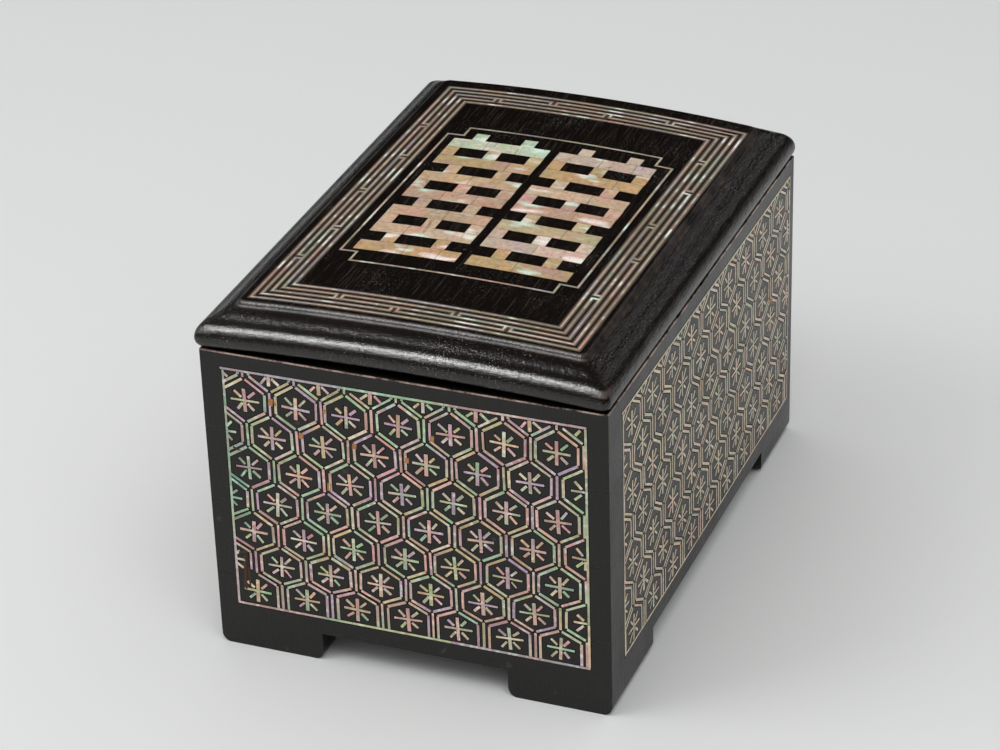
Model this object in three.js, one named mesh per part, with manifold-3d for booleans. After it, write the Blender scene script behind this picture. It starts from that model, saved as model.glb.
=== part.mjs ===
// A lidded box on bracket feet: four finger-jointed wooden boards, a bottom and a bowed, moulded lid,
// coated with black lacquer and inlaid with strips of pearl shell.
// Millimetres. The origin is on the ground under the middle of the box; the front faces -Y, +Z is up.
import * as THREE from 'three';
import { mergeVertices } from 'three/addons/utils/BufferGeometryUtils.js';
import Module from 'manifold-3d';

const wasm = await Module();
wasm.setup();

// The box
const BODY_WIDTH = 170;
const BODY_DEPTH = 242;
const BODY_HEIGHT = 136.4;
const WALL = 14.5;
const ARRIS = 1.2;              // rounding of the upright corners
const JOINT_GAP = 0.3;          // left between two pieces that touch
const FINGER_ROWS = 4;          // rows of finger joints up each corner
const BOTTOM_UNDERSIDE = 14;
const BOTTOM_THICKNESS = 9;

// The cut-outs that leave four bracket feet
const FRONT_CUTOUT = { from: -39.5, to: 41, height: 12.5 };
const SIDE_CUTOUT = { from: -71, to: 77.5, height: 11 };
const FOOT_ROUND = 2.2;
const CUTOUT_ROUND = 1.6;

// The lid
const LID_WIDTH = 173;
const LID_DEPTH = 245;
const LID_THICKNESS = 15.5;
const LID_CORNER_ROUND = 3;
const BOW_RISE = 3.35;          // the lid's middle stands this much above its long edges
const BOW_SEGMENTS = 10;
const BOW_REACH = 96;           // half the length over which the bow's facets are laid out
const PLUG_DEPTH = 4;           // the part of the lid that drops inside the walls
const PLUG_PLAY = 1.3;

// The board has warped, and lies a little off the middle of the box
const LID_SHIFT = { x: -0.86, y: 0.46 };
const FAR_LEFT_LIFT = 4.2;      // the far left corner stands this much above the other three
const BOW_CHANGE = 0.5;         // the bow is this much deeper at the back, and shallower at the front

// Edge moulding of the lid: distance in from the edge, height above the underside
const MOULDING = [
  [3.0, 0], [1.6, 0.5], [0.7, 1.4], [0.15, 2.8], [0, 4.4], [0.25, 5.9],
  [1.0, 7.6], [2.3, 9.0], [4.0, 9.8], [5.6, 10.8], [7.4, 12.0], [9.6, 12.9], [12.6, 13.6],
  [13.3, 14.3], [13.9, 15.1], [15.0, LID_THICKNESS],
];

const PANEL_STEP = { inset: 12.8, height: 13.6, cornerRound: 4 };

// Shell inlay
const SHELL_THICKNESS = 0.8;
const POCKET_DEPTH = SHELL_THICKNESS + JOINT_GAP;
const LINE_WIDTH = 1.1;

const INLAY_TURN = -0.45;       // degrees that the whole design is out of square with the lid

// The border is given by the middle of its outermost line, and set out from its own middle
const BORDER = { middle: [0.95, -2.5], halfWidth: 68.4, halfLength: 102.5 };
const BORDER_LINES = 5;
const SIDE_PITCH = 3.09;        // from line to line along the left and right
const END_PITCH = 3.33;         // and along the front and back
const BRICK_GAP = 1.8;
const TIE_WIDTH = 1;
// Places of the brick joints along each side, in the outer and the inner course
const BRICK_JOINTS = {
  front: { outer: [-8.3, 38.8], inner: [-33.4, 15.9] },
  back: { outer: [-16.7, 37], inner: [-41.5, 9.6] },
  left: { outer: [-68.6, -6.2, 59.9], inner: [-41.2, 28.2] },
  right: { outer: [-28.7, 36.7], inner: [-63.3, 2, 65.2] },
};

const CARTOUCHE = { middle: [1.2, -2.4], halfWidth: 50.8, shoulder: 56.6, stepIn: 43.45, halfLength: 64.3 };

const LATTICE_NEAR = -56.6;
const LATTICE_COURSE = 8.26;    // height of one bar, and of one row of windows
const LATTICE_BARS = 7;
const POST_WIDTH = 6;
const TOP_POST_HEIGHT = 6.6;
const LATTICE_LEFT = { from: -45.2, to: -1 };
const LATTICE_RIGHT = { from: 3.0, to: 46.5 };

const FRONT_FRAME = { left: -76, right: 75.8, low: 20.6, high: 129.3 };
const SIDE_FRAME = { near: -105, far: 115.4, low: 18.9, high: 128.8 };

const HALF_WIDTH = BODY_WIDTH / 2;
const HALF_DEPTH = BODY_DEPTH / 2;
const LID_UNDERSIDE = BODY_HEIGHT + JOINT_GAP;
const FAR = 400;                // longer than any piece

const lacquer = { color: 0x2b2725, roughness: 0.32, metalness: 0 };
const shell = { color: 0xcdbda3, roughness: 0.25, metalness: 0 };

// ---- solids ----

// Places are rounded to 1/1024 mm, so that faces meant to be in one plane are exactly so
const GRID = 1024;

function solid(geometry) {
  geometry.deleteAttribute('normal');
  geometry.deleteAttribute('uv');
  const places = geometry.attributes.position.array;
  places.forEach((value, i) => {
    places[i] = Math.round(value * GRID) / GRID;
  });
  const merged = mergeVertices(geometry, 1e-4);
  return new wasm.Manifold(new wasm.Mesh({
    numProp: 3,
    vertProperties: Float32Array.from(merged.attributes.position.array),
    triVerts: Uint32Array.from(merged.index.array),
  }));
}

function union(solids) {
  return solids.reduce((whole, next) => whole.add(next));
}

function block([x0, x1], [y0, y1], [z0, z1]) {
  const geometry = new THREE.BoxGeometry(x1 - x0, y1 - y0, z1 - z0);
  geometry.translate((x0 + x1) / 2, (y0 + y1) / 2, (z0 + z1) / 2);
  return solid(geometry);
}

function rounded(x0, x1, y0, y1, radius) {
  const shape = new THREE.Shape();
  shape.moveTo(x0 + radius, y0);
  shape.lineTo(x1 - radius, y0);
  shape.absarc(x1 - radius, y0 + radius, radius, -Math.PI / 2, 0);
  shape.absarc(x1 - radius, y1 - radius, radius, 0, Math.PI / 2);
  shape.absarc(x0 + radius, y1 - radius, radius, Math.PI / 2, Math.PI);
  shape.absarc(x0 + radius, y0 + radius, radius, Math.PI, Math.PI * 1.5);
  return shape;
}

function upright(shape, z0, z1) {
  const geometry = new THREE.ExtrudeGeometry(shape, { depth: z1 - z0, bevelEnabled: false, curveSegments: 5 });
  return solid(geometry.translate(0, 0, z0));
}

// A shape drawn in X and Z, drawn out along Y over the whole box
function alongDepth(shape) {
  const geometry = new THREE.ExtrudeGeometry(shape, { depth: FAR, bevelEnabled: false, curveSegments: 5 });
  return solid(geometry.translate(0, 0, -FAR / 2).rotateX(Math.PI / 2));
}

// A shape drawn in Y and Z, drawn out along X over the whole box
function alongWidth(shape) {
  const geometry = new THREE.ExtrudeGeometry(shape, { depth: FAR, bevelEnabled: false, curveSegments: 5 });
  return solid(geometry.translate(0, 0, -FAR / 2).rotateX(Math.PI / 2).rotateZ(Math.PI / 2));
}

const group = new THREE.Group();

function addPiece(name, manifold, finish) {
  const { vertProperties, triVerts } = manifold.getMesh();
  const geometry = new THREE.BufferGeometry();
  geometry.setAttribute('position', new THREE.BufferAttribute(Float32Array.from(vertProperties), 3));
  geometry.setIndex(new THREE.BufferAttribute(Uint32Array.from(triVerts), 1));
  geometry.computeVertexNormals();
  const mesh = new THREE.Mesh(geometry, new THREE.MeshStandardMaterial(finish));
  mesh.name = name;
  group.add(mesh);
}

// ---- inlay lines, as lists of upright rectangles in the plane of the inlay ----

function rectangle(a0, a1, b0, b1) {
  return { a: [a0, a1], b: [b0, b1] };
}

// A line of shell along a closed path of square corners
function closedLine(corners, width = LINE_WIDTH) {
  return corners.map(([a0, b0], i) => {
    const [a1, b1] = corners[(i + 1) % corners.length];
    return rectangle(
      Math.min(a0, a1) - width / 2, Math.max(a0, a1) + width / 2,
      Math.min(b0, b1) - width / 2, Math.max(b0, b1) + width / 2,
    );
  });
}

// A line of shell round a rectangle
function rectangleLine([x, y], halfWidth, halfLength) {
  return closedLine([
    [x - halfWidth, y - halfLength], [x + halfWidth, y - halfLength],
    [x + halfWidth, y + halfLength], [x - halfWidth, y + halfLength],
  ]);
}

function grown({ a, b }, by) {
  return rectangle(a[0] - by, a[1] + by, b[0] - by, b[1] + by);
}

// ---- carcass ----

// Elevation of a wall: feet at both ends and a cut-out between them
function elevation(half, cutout) {
  const shape = new THREE.Shape();
  const top = BODY_HEIGHT;
  const foot = FOOT_ROUND;
  const inner = CUTOUT_ROUND;
  shape.moveTo(-half, top);
  shape.lineTo(-half, foot);
  shape.absarc(-half + foot, foot, foot, Math.PI, Math.PI * 1.5);
  shape.lineTo(cutout.from - foot, 0);
  shape.absarc(cutout.from - foot, foot, foot, -Math.PI / 2, 0);
  shape.lineTo(cutout.from, cutout.height - inner);
  shape.absarc(cutout.from + inner, cutout.height - inner, inner, Math.PI, Math.PI / 2, true);
  shape.lineTo(cutout.to - inner, cutout.height);
  shape.absarc(cutout.to - inner, cutout.height - inner, inner, Math.PI / 2, 0, true);
  shape.lineTo(cutout.to, foot);
  shape.absarc(cutout.to + foot, foot, foot, Math.PI, Math.PI * 1.5);
  shape.lineTo(half - foot, 0);
  shape.absarc(half - foot, foot, foot, -Math.PI / 2, 0);
  shape.lineTo(half, top);
  return shape;
}

function framePath({ low, high }, from, to) {
  return closedLine([[from, low], [to, low], [to, high], [from, high]]);
}

// Frame lines on the four walls; "out" is the side of the box that the wall faces
const frames = {
  front: { rects: framePath(FRONT_FRAME, FRONT_FRAME.left, FRONT_FRAME.right), out: -1, wall: 'y' },
  back: { rects: framePath(FRONT_FRAME, FRONT_FRAME.left, FRONT_FRAME.right), out: 1, wall: 'y' },
  left: { rects: framePath(SIDE_FRAME, SIDE_FRAME.near, SIDE_FRAME.far), out: -1, wall: 'x' },
  right: { rects: framePath(SIDE_FRAME, SIDE_FRAME.near, SIDE_FRAME.far), out: 1, wall: 'x' },
};

// The frame's strips as a solid that reaches from depth "deep" below the wall's face to "proud" above it
function frameSolid({ rects, out, wall }, grow, deep, proud) {
  const face = (wall === 'y' ? HALF_DEPTH : HALF_WIDTH) * out;
  const reach = [face - deep * out, face + proud * out].sort((p, q) => p - q);
  return union(rects.map((rect) => {
    const { a, b } = grown(rect, grow);
    return wall === 'y' ? block(a, reach, b) : block(reach, a, b);
  }));
}

function carcass() {
  const plan = upright(rounded(-HALF_WIDTH, HALF_WIDTH, -HALF_DEPTH, HALF_DEPTH, ARRIS), 0, BODY_HEIGHT);
  const inside = block(
    [-HALF_WIDTH + WALL, HALF_WIDTH - WALL], [-HALF_DEPTH + WALL, HALF_DEPTH - WALL], [-1, BODY_HEIGHT + 1],
  );
  const grooves = Object.values(frames).map((frame) => frameSolid(frame, JOINT_GAP, POCKET_DEPTH, 1));
  return plan
    .intersect(alongDepth(elevation(HALF_WIDTH, FRONT_CUTOUT)))
    .intersect(alongWidth(elevation(HALF_DEPTH, SIDE_CUTOUT)))
    .subtract(inside)
    .subtract(union(grooves));
}

// The corner blocks that belong to the fingers of one pair of boards, with clearance all round
function cornerFingers(row, reachX, reachY) {
  const rowHeight = BODY_HEIGHT / FINGER_ROWS;
  const low = row === 0 ? -1 : row * rowHeight - JOINT_GAP / 2;
  const high = row === FINGER_ROWS - 1 ? BODY_HEIGHT + 1 : (row + 1) * rowHeight + JOINT_GAP / 2;
  const corners = [];
  for (const sx of [-1, 1]) {
    for (const sy of [-1, 1]) {
      const x = [sx * (HALF_WIDTH - reachX), sx * FAR].sort((p, q) => p - q);
      const y = [sy * (HALF_DEPTH - reachY), sy * FAR].sort((p, q) => p - q);
      corners.push(block(x, y, [low, high]));
    }
  }
  return union(corners);
}

function buildBoards() {
  const walls = carcass();
  const rows = [...Array(FINGER_ROWS).keys()];
  const sideFingers = union(rows.filter((row) => row % 2 === 1)
    .map((row) => cornerFingers(row, WALL + JOINT_GAP, WALL + JOINT_GAP)));
  const endFingers = union(rows.filter((row) => row % 2 === 0)
    .map((row) => cornerFingers(row, WALL + JOINT_GAP, WALL + JOINT_GAP)));
  const across = [-FAR, FAR];
  const height = [-1, BODY_HEIGHT + 1];
  for (const [name, sign] of [['front_board', -1], ['back_board', 1]]) {
    const reach = [sign * (HALF_DEPTH - WALL), sign * FAR].sort((p, q) => p - q);
    addPiece(name, walls.intersect(block(across, reach, height)).subtract(sideFingers), lacquer);
  }
  for (const [name, sign] of [['left_board', -1], ['right_board', 1]]) {
    const reach = [sign * (HALF_WIDTH - WALL), sign * FAR].sort((p, q) => p - q);
    addPiece(name, walls.intersect(block(reach, across, height)).subtract(endFingers), lacquer);
  }
  const x = HALF_WIDTH - WALL - JOINT_GAP;
  const y = HALF_DEPTH - WALL - JOINT_GAP;
  const bottom = block([-x, x], [-y, y], [BOTTOM_UNDERSIDE, BOTTOM_UNDERSIDE + BOTTOM_THICKNESS]);
  addPiece('bottom_board', bottom, lacquer);
}

function buildWallFrames() {
  for (const [name, frame] of Object.entries(frames)) {
    addPiece(`${name}_panel_frame`, frameSolid(frame, 0, SHELL_THICKNESS, 0), shell);
  }
}

// ---- lid ----

// Height of the bowed underside above the level of its long edges
function bow(x) {
  return BOW_RISE * (1 - (x / HALF_WIDTH) ** 2);
}

function bowPoint(x, height) {
  return new THREE.Vector2(x, LID_UNDERSIDE + bow(x) + height);
}

// Points across the bow at a height above the underside, from -X to +X, up to "reach" each way
function bowLine(height, reach) {
  return [...Array(BOW_SEGMENTS + 1).keys()]
    .map((i) => BOW_REACH * ((2 * i) / BOW_SEGMENTS - 1))
    .filter((x) => Math.abs(x) <= reach)
    .map((x) => bowPoint(x, height));
}

// The space between two bowed surfaces, given by their heights above the underside
function bowedSlab(low, high) {
  return alongDepth(new THREE.Shape([...bowLine(low, BOW_REACH), ...bowLine(high, BOW_REACH).reverse()]));
}

// Bowed cross-section, moulded at its left and right edges and drawn out along Y
function widthSection() {
  const half = LID_WIDTH / 2;
  const [topInset] = MOULDING[MOULDING.length - 1];
  const [bottomInset] = MOULDING[0];
  const left = MOULDING.map(([inset, height]) => bowPoint(-half + inset, height));
  const right = MOULDING.map(([inset, height]) => bowPoint(half - inset, height)).reverse();
  const top = bowLine(LID_THICKNESS, half - topInset - 1);
  const bottom = bowLine(0, half - bottomInset - 1).reverse();
  return alongDepth(new THREE.Shape([...left, ...top, ...right, ...bottom]));
}

// Lengthwise section, moulded at its front and back edges and swept across the bow.
// It stands clear of the other section above and below, so that only its mouldings cut.
function lengthSection() {
  const half = LID_DEPTH / 2;
  const clear = 5;
  const edge = [[MOULDING[0][0], -clear], ...MOULDING, [MOULDING[MOULDING.length - 1][0] + 1, LID_THICKNESS + clear]];
  const near = edge.map(([inset, height]) => new THREE.Vector2(-half + inset, -height));
  const far = edge.map(([inset, height]) => new THREE.Vector2(half - inset, -height)).reverse();
  const end = LID_UNDERSIDE + bow(BOW_REACH);
  const middle = LID_UNDERSIDE + bow(0);
  const path = new THREE.QuadraticBezierCurve3(
    new THREE.Vector3(-BOW_REACH, 0, end),
    new THREE.Vector3(0, 0, 2 * middle - end),
    new THREE.Vector3(BOW_REACH, 0, end),
  );
  return solid(new THREE.ExtrudeGeometry(new THREE.Shape([...near, ...far]), {
    steps: BOW_SEGMENTS, bevelEnabled: false, extrudePath: path,
  }));
}

function lidOutline(inset, radius) {
  const x = LID_WIDTH / 2 - inset;
  const y = LID_DEPTH / 2 - inset;
  return upright(rounded(-x, x, -y, y, radius), 0, LID_UNDERSIDE * 2);
}

function lidBlank() {
  const aroundPanel = bowedSlab(PANEL_STEP.height, LID_THICKNESS + 1)
    .subtract(lidOutline(PANEL_STEP.inset, PANEL_STEP.cornerRound));
  const x = HALF_WIDTH - WALL - PLUG_PLAY;
  const y = HALF_DEPTH - WALL - PLUG_PLAY;
  const plug = block([-x, x], [-y, y], [BODY_HEIGHT - PLUG_DEPTH, LID_UNDERSIDE + BOW_RISE + 1]);
  return widthSection()
    .intersect(lengthSection())
    .intersect(lidOutline(0, LID_CORNER_ROUND))
    .subtract(aroundPanel)
    .add(plug);
}

// ---- lid inlay ----

// Inlay rectangles as a solid between two depths below the lid's top
function inlaySolid(rects, grow, deep, proud) {
  const plan = union(rects.map((rect) => {
    const { a, b } = grown(rect, grow);
    return block(a, b, [BODY_HEIGHT, BODY_HEIGHT + 2 * LID_THICKNESS]);
  }));
  return plan.rotate([0, 0, INLAY_TURN]).intersect(bowedSlab(LID_THICKNESS - deep, LID_THICKNESS + proud));
}

function borderLine(index) {
  const { middle, halfWidth, halfLength } = BORDER;
  return rectangleLine(middle, halfWidth - index * SIDE_PITCH, halfLength - index * END_PITCH);
}

// A rectangle beside one side of the border: "along" it, and "inward" from the outermost line
function besideBorder(side, along, inward) {
  const [middleX, middleY] = BORDER.middle;
  const near = middleY - BORDER.halfLength;
  const far = middleY + BORDER.halfLength;
  const left = middleX - BORDER.halfWidth;
  const right = middleX + BORDER.halfWidth;
  if (side === 'front') return rectangle(...along, near + inward[0], near + inward[1]);
  if (side === 'back') return rectangle(...along, far - inward[1], far - inward[0]);
  if (side === 'left') return rectangle(left + inward[0], left + inward[1], ...along);
  return rectangle(right - inward[1], right - inward[0], ...along);
}

// The two short ties at a brick joint, and the gap between them that parts the course's own line
function brickJoint(side, place, course) {
  const centre = (BRICK_GAP + TIE_WIDTH) / 2;
  const pitch = side === 'left' || side === 'right' ? SIDE_PITCH : END_PITCH;
  const [from, to] = (course === 'outer' ? [1, 2] : [2, 3]).map((index) => index * pitch);
  const ties = [-centre, centre].map((offset) => besideBorder(
    side,
    [place + offset - TIE_WIDTH / 2, place + offset + TIE_WIDTH / 2],
    [from, to],
  ));
  const half = LINE_WIDTH / 2 + 0.1;
  const parted = course === 'outer'
    ? [from - half, to - LINE_WIDTH / 2]
    : [from + LINE_WIDTH / 2, to + half];
  const gap = besideBorder(side, [place - BRICK_GAP / 2, place + BRICK_GAP / 2], parted);
  return { ties, gap };
}

const brickJoints = Object.entries(BRICK_JOINTS).flatMap(([side, courses]) => (
  Object.entries(courses).flatMap(([course, places]) => places.map((place) => brickJoint(side, place, course)))
));

function brickwork(grow, deep, proud) {
  const lines = [1, 2, 3].flatMap((index) => borderLine(index));
  const ties = brickJoints.flatMap((joint) => joint.ties);
  const gaps = brickJoints.map((joint) => joint.gap);
  const whole = inlaySolid([...lines, ...ties], grow, deep, proud);
  return whole.subtract(inlaySolid(gaps, -grow, deep + 1, proud + 1));
}

function cartoucheLine() {
  const { middle, halfWidth, shoulder, stepIn, halfLength } = CARTOUCHE;
  const quarter = [[halfWidth, shoulder], [stepIn, shoulder], [stepIn, halfLength]];
  const mirrored = (sx, sy) => quarter.map(([x, y]) => [middle[0] + sx * x, middle[1] + sy * y]);
  return closedLine([
    ...mirrored(1, 1), ...mirrored(-1, 1).reverse(), ...mirrored(-1, -1), ...mirrored(1, -1).reverse(),
  ]);
}

// A fret of level bars joined by posts, laid like bricks: a row with posts at the quarters takes
// turns with a row with posts at the ends and the middle, and short posts stand on the last bar
function latticeRects({ from, to }) {
  const middle = (from + to) / 2;
  const inner = [(from + middle) / 2, (middle + to) / 2];
  const ends = [from + POST_WIDTH / 2, middle, to - POST_WIDTH / 2];
  const rects = [];
  for (let bar = 0; bar < LATTICE_BARS; bar += 1) {
    const low = LATTICE_NEAR + 2 * bar * LATTICE_COURSE;
    const top = low + LATTICE_COURSE;
    const postTop = bar < LATTICE_BARS - 1 ? top + LATTICE_COURSE * 1.5 : top + TOP_POST_HEIGHT;
    rects.push(rectangle(from, to, low, top));
    for (const x of bar % 2 === 0 ? inner : ends) {
      rects.push(rectangle(x - POST_WIDTH / 2, x + POST_WIDTH / 2, top - LATTICE_COURSE / 2, postTop));
    }
  }
  return rects;
}

// Every inlay of the lid: its shell, and the pocket that is cut for it
const lidInlays = {
  lid_border_outer_line: (...cut) => inlaySolid(borderLine(0), ...cut),
  lid_border_brickwork: (...cut) => brickwork(...cut),
  lid_border_inner_line: (...cut) => inlaySolid(borderLine(BORDER_LINES - 1), ...cut),
  lid_cartouche_line: (...cut) => inlaySolid(cartoucheLine(), ...cut),
  lid_lattice_left: (...cut) => inlaySolid(latticeRects(LATTICE_LEFT), ...cut),
  lid_lattice_right: (...cut) => inlaySolid(latticeRects(LATTICE_RIGHT), ...cut),
};

// The lid as it lies: warped up at its far left corner, and shifted
function settled(manifold) {
  return manifold.warp((place) => {
    const x = place[0] / HALF_WIDTH;
    const y = place[1] / HALF_DEPTH;
    place[2] += FAR_LEFT_LIFT * ((1 - x) / 2) * ((1 + y) / 2) + BOW_CHANGE * y * (1 - x * x);
    place[0] += LID_SHIFT.x;
    place[1] += LID_SHIFT.y;
  });
}

function buildLid() {
  const pockets = Object.values(lidInlays).map((inlay) => inlay(JOINT_GAP, POCKET_DEPTH, 1));
  addPiece('lid', settled(lidBlank().subtract(union(pockets))), lacquer);
  for (const [name, inlay] of Object.entries(lidInlays)) {
    addPiece(name, settled(inlay(0, SHELL_THICKNESS, 0)), shell);
  }
}

buildBoards();
buildWallFrames();
buildLid();

export default group;
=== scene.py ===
import math
import random

import bmesh
import bpy
from mathutils import Matrix, Vector
from mathutils.noise import noise


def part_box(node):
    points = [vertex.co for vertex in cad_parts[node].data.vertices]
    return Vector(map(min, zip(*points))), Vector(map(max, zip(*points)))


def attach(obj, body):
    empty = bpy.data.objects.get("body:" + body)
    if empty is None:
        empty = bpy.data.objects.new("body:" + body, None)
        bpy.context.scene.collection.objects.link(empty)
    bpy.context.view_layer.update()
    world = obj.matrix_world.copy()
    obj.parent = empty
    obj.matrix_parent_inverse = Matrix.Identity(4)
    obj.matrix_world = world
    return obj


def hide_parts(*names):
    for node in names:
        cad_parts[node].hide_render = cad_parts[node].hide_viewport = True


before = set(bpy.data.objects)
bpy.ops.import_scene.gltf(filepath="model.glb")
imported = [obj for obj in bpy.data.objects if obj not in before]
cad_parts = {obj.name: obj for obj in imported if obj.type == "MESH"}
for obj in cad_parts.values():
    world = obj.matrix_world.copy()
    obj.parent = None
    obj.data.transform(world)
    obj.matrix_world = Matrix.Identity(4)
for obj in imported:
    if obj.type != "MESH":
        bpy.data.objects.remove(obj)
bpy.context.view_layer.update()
scene = bpy.context.scene


# ---- Camera ----
# A long lens looks down on the box from the front, a little to its right, as in a museum's studio.
# It stands about 1.4 m away and leans very slightly to one side.
CAMERA_PLACE = (0.4401, -1.1007, 0.7263)
CAMERA_TURN = 22.12             # degrees to the right of the front
CAMERA_TILT = 28.74             # degrees down from level
CAMERA_ROLL = -1.87
LENS = 115.2
SENSOR = 36.0

camera_data = bpy.data.cameras.new("camera")
camera_data.lens = LENS
camera_data.sensor_width = SENSOR
camera = bpy.data.objects.new("camera", camera_data)
scene.collection.objects.link(camera)
camera.matrix_world = (
    Matrix.Translation(CAMERA_PLACE)
    @ Matrix.Rotation(math.radians(CAMERA_TURN), 4, "Z")
    @ Matrix.Rotation(math.radians(90 - CAMERA_TILT), 4, "X")
    @ Matrix.Rotation(math.radians(CAMERA_ROLL), 4, "Z")
)
scene.camera = camera


# ---- Studio: floor and lights ----
# The box stands on a sheet of pale grey paper in a pale room, under a wide panel, with a key light at
# the left and a fill at the right. Three more lights, kept off the paper, only gleam in the lacquer.
PAPER_SIZE = 3.6
PAPER_COLOUR = "#d9dada"
ROOM_COLOUR = "#cccdcc"
FIBRE_SCALE = 900.0             # fibres to the metre
ORIGIN = (0.0, 0.0, 0.0)
LIGHTS = {
    # name: (place, width, height, watts, what it points at, whether it lights, whether lacquer mirrors it)
    "ceiling_panel": ((0.0, 0.3, 2.4), 3.4, 3.4, 13.0, (0.0, 0.3, 0.0), True, False),
    "key_soft_box": ((-1.1, -0.75, 1.35), 1.0, 1.0, 8.0, (0.0, 0.0, 0.08), True, True),
    "front_fill": ((0.75, -1.1, 1.9), 1.2, 1.2, 12.0, (0.1, -0.3, 0.0), True, False),
    "gleam_strip": ((-0.5, -0.9, 1.4), 1.0, 0.25, 50.0, ORIGIN, False, True),
    "sheen_left": ((-2.3, 1.3, 1.15), 1.5, 1.5, 2.8, ORIGIN, False, True),
    "sheen_right": ((0.57, 2.3, 1.66), 0.5, 0.5, 2.2, ORIGIN, False, True),
}


def linear(hex_colour):
    """An sRGB hex colour as linear red, green, blue and alpha."""
    parts = [int(hex_colour[i:i + 2], 16) / 255 for i in (1, 3, 5)]
    return tuple(c / 12.92 if c <= 0.04045 else ((c + 0.055) / 1.055) ** 2.4 for c in parts) + (1.0,)


def add(tree, kind, inputs, **settings):
    """Adds a node with its settings. Each input is a value, an output that feeds it, or a node whose
    first output feeds it."""
    node = tree.nodes.new("ShaderNode" + kind)
    for name, value in settings.items():
        setattr(node, name, value)
    for socket, value in inputs.items():
        source = value.outputs[0] if isinstance(value, bpy.types.Node) else value
        if isinstance(source, bpy.types.NodeSocket):
            tree.links.new(source, node.inputs[socket])
        else:
            node.inputs[socket].default_value = source
    return node


def new_material(name):
    """An empty node material, and its node tree."""
    material = bpy.data.materials.new(name)
    material.use_nodes = True
    material.node_tree.nodes.clear()
    return material, material.node_tree


def new_piece(name, mesh_work, *materials, smooth=False):
    """Makes the worked mesh an object at the origin, with its materials."""
    mesh = bpy.data.meshes.new(name)
    mesh_work.to_mesh(mesh)
    mesh_work.free()
    for material in materials:
        mesh.materials.append(material)
    if smooth:
        mesh.shade_smooth()
    else:
        mesh.shade_flat()
    piece = bpy.data.objects.new(name, mesh)
    scene.collection.objects.link(piece)
    return piece


# Studio background paper: matt and uncoated, with a faint mottle from its fibres
paper, tree = new_material("matt background paper")
place = add(tree, "TexCoord", {}).outputs["Object"]
mottle = add(tree, "TexNoise", {"Vector": place, "Scale": FIBRE_SCALE, "Detail": 3.0})
fibres = add(tree, "Bump", {"Height": mottle, "Strength": 0.1, "Distance": 0.0002})
paper_shader = add(tree, "BsdfPrincipled", {
    "Base Color": linear(PAPER_COLOUR), "Roughness": 0.85, "Normal": fibres,
})
add(tree, "OutputMaterial", {"Surface": paper_shader})

sheet = bmesh.new()
bmesh.ops.create_grid(sheet, x_segments=4, y_segments=4, size=PAPER_SIZE / 2)
floor = new_piece("paper_floor", sheet, paper)

for name, (light_place, width, height, watts, target, lights_things, mirrored) in LIGHTS.items():
    light_data = bpy.data.lights.new(name, "AREA")
    light_data.shape = "RECTANGLE"
    light_data.size = width
    light_data.size_y = height
    light_data.energy = watts
    light = bpy.data.objects.new(name, light_data)
    scene.collection.objects.link(light)
    aim = (Vector(target) - Vector(light_place)).to_track_quat("-Z", "Y").to_matrix().to_4x4()
    light.matrix_world = Matrix.Translation(light_place) @ aim
    light.visible_diffuse = lights_things
    light.visible_glossy = mirrored

room = bpy.data.worlds.new("pale studio")
room.use_nodes = True
room.node_tree.nodes["Background"].inputs["Color"].default_value = linear(ROOM_COLOUR)
room.cycles_visibility.glossy = False
scene.world = room
scene.view_settings.view_transform = "Standard"


# ---- Walls ----
# Four boards of softwood, finger-jointed at the corners, then wrapped in fine cloth and coated with
# black lacquer as one carcass. Cut-outs in the lower edges leave four bracket feet.
MM = 0.001
WALL = 14.5 * MM
SOFFIT_FRONT = 12.5 * MM
SOFFIT_SIDE = 11.0 * MM
FRONT_CUTOUT = (-39.5 * MM, 41.0 * MM)
SIDE_CUTOUT = (-71.0 * MM, 77.5 * MM)
CORNER_ROUND = 1.5 * MM
FOOT_ROUND = 4.2 * MM
CUTOUT_ROUND = 1.6 * MM
UNDER_ROUND = 1.0 * MM          # along the front and the back of the feet
ARRIS = 0.45 * MM
FINGER_ROWS = 4

wall_low, wall_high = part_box("front_board")
HALF_WIDTH = wall_high[0]
HALF_DEPTH = -wall_low[1]
WALL_TOP = wall_high[2]

across = [-HALF_WIDTH, WALL - HALF_WIDTH, *FRONT_CUTOUT, HALF_WIDTH - WALL, HALF_WIDTH]
along = [-HALF_DEPTH, WALL - HALF_DEPTH, *SIDE_CUTOUT, HALF_DEPTH - WALL, HALF_DEPTH]

walls = bmesh.new()
bmesh.ops.create_grid(walls, x_segments=5, y_segments=5, size=1)
for vert in walls.verts:
    column = round((vert.co.x + 1) * 2.5)
    row = round((vert.co.y + 1) * 2.5)
    soffit = SOFFIT_SIDE if column in (0, 1, 4, 5) and row in (2, 3) else SOFFIT_FRONT
    vert.co = (across[column], along[row], soffit)


def over_cutout(face):
    """Whether a face of the walls' plan is over one of the four cut-outs."""
    middle = face.calc_center_median()
    over_front = FRONT_CUTOUT[0] < middle.x < FRONT_CUTOUT[1]
    over_side = SIDE_CUTOUT[0] < middle.y < SIDE_CUTOUT[1]
    return over_front or over_side


def in_hollow(face):
    """Whether a face of the walls' plan is in the hollow of the box."""
    middle = face.calc_center_median()
    return abs(middle.x) < HALF_WIDTH - WALL and abs(middle.y) < HALF_DEPTH - WALL


def new_verts(made):
    """The vertices that an extrusion made."""
    return [item for item in made["geom"] if isinstance(item, bmesh.types.BMVert)]


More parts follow.
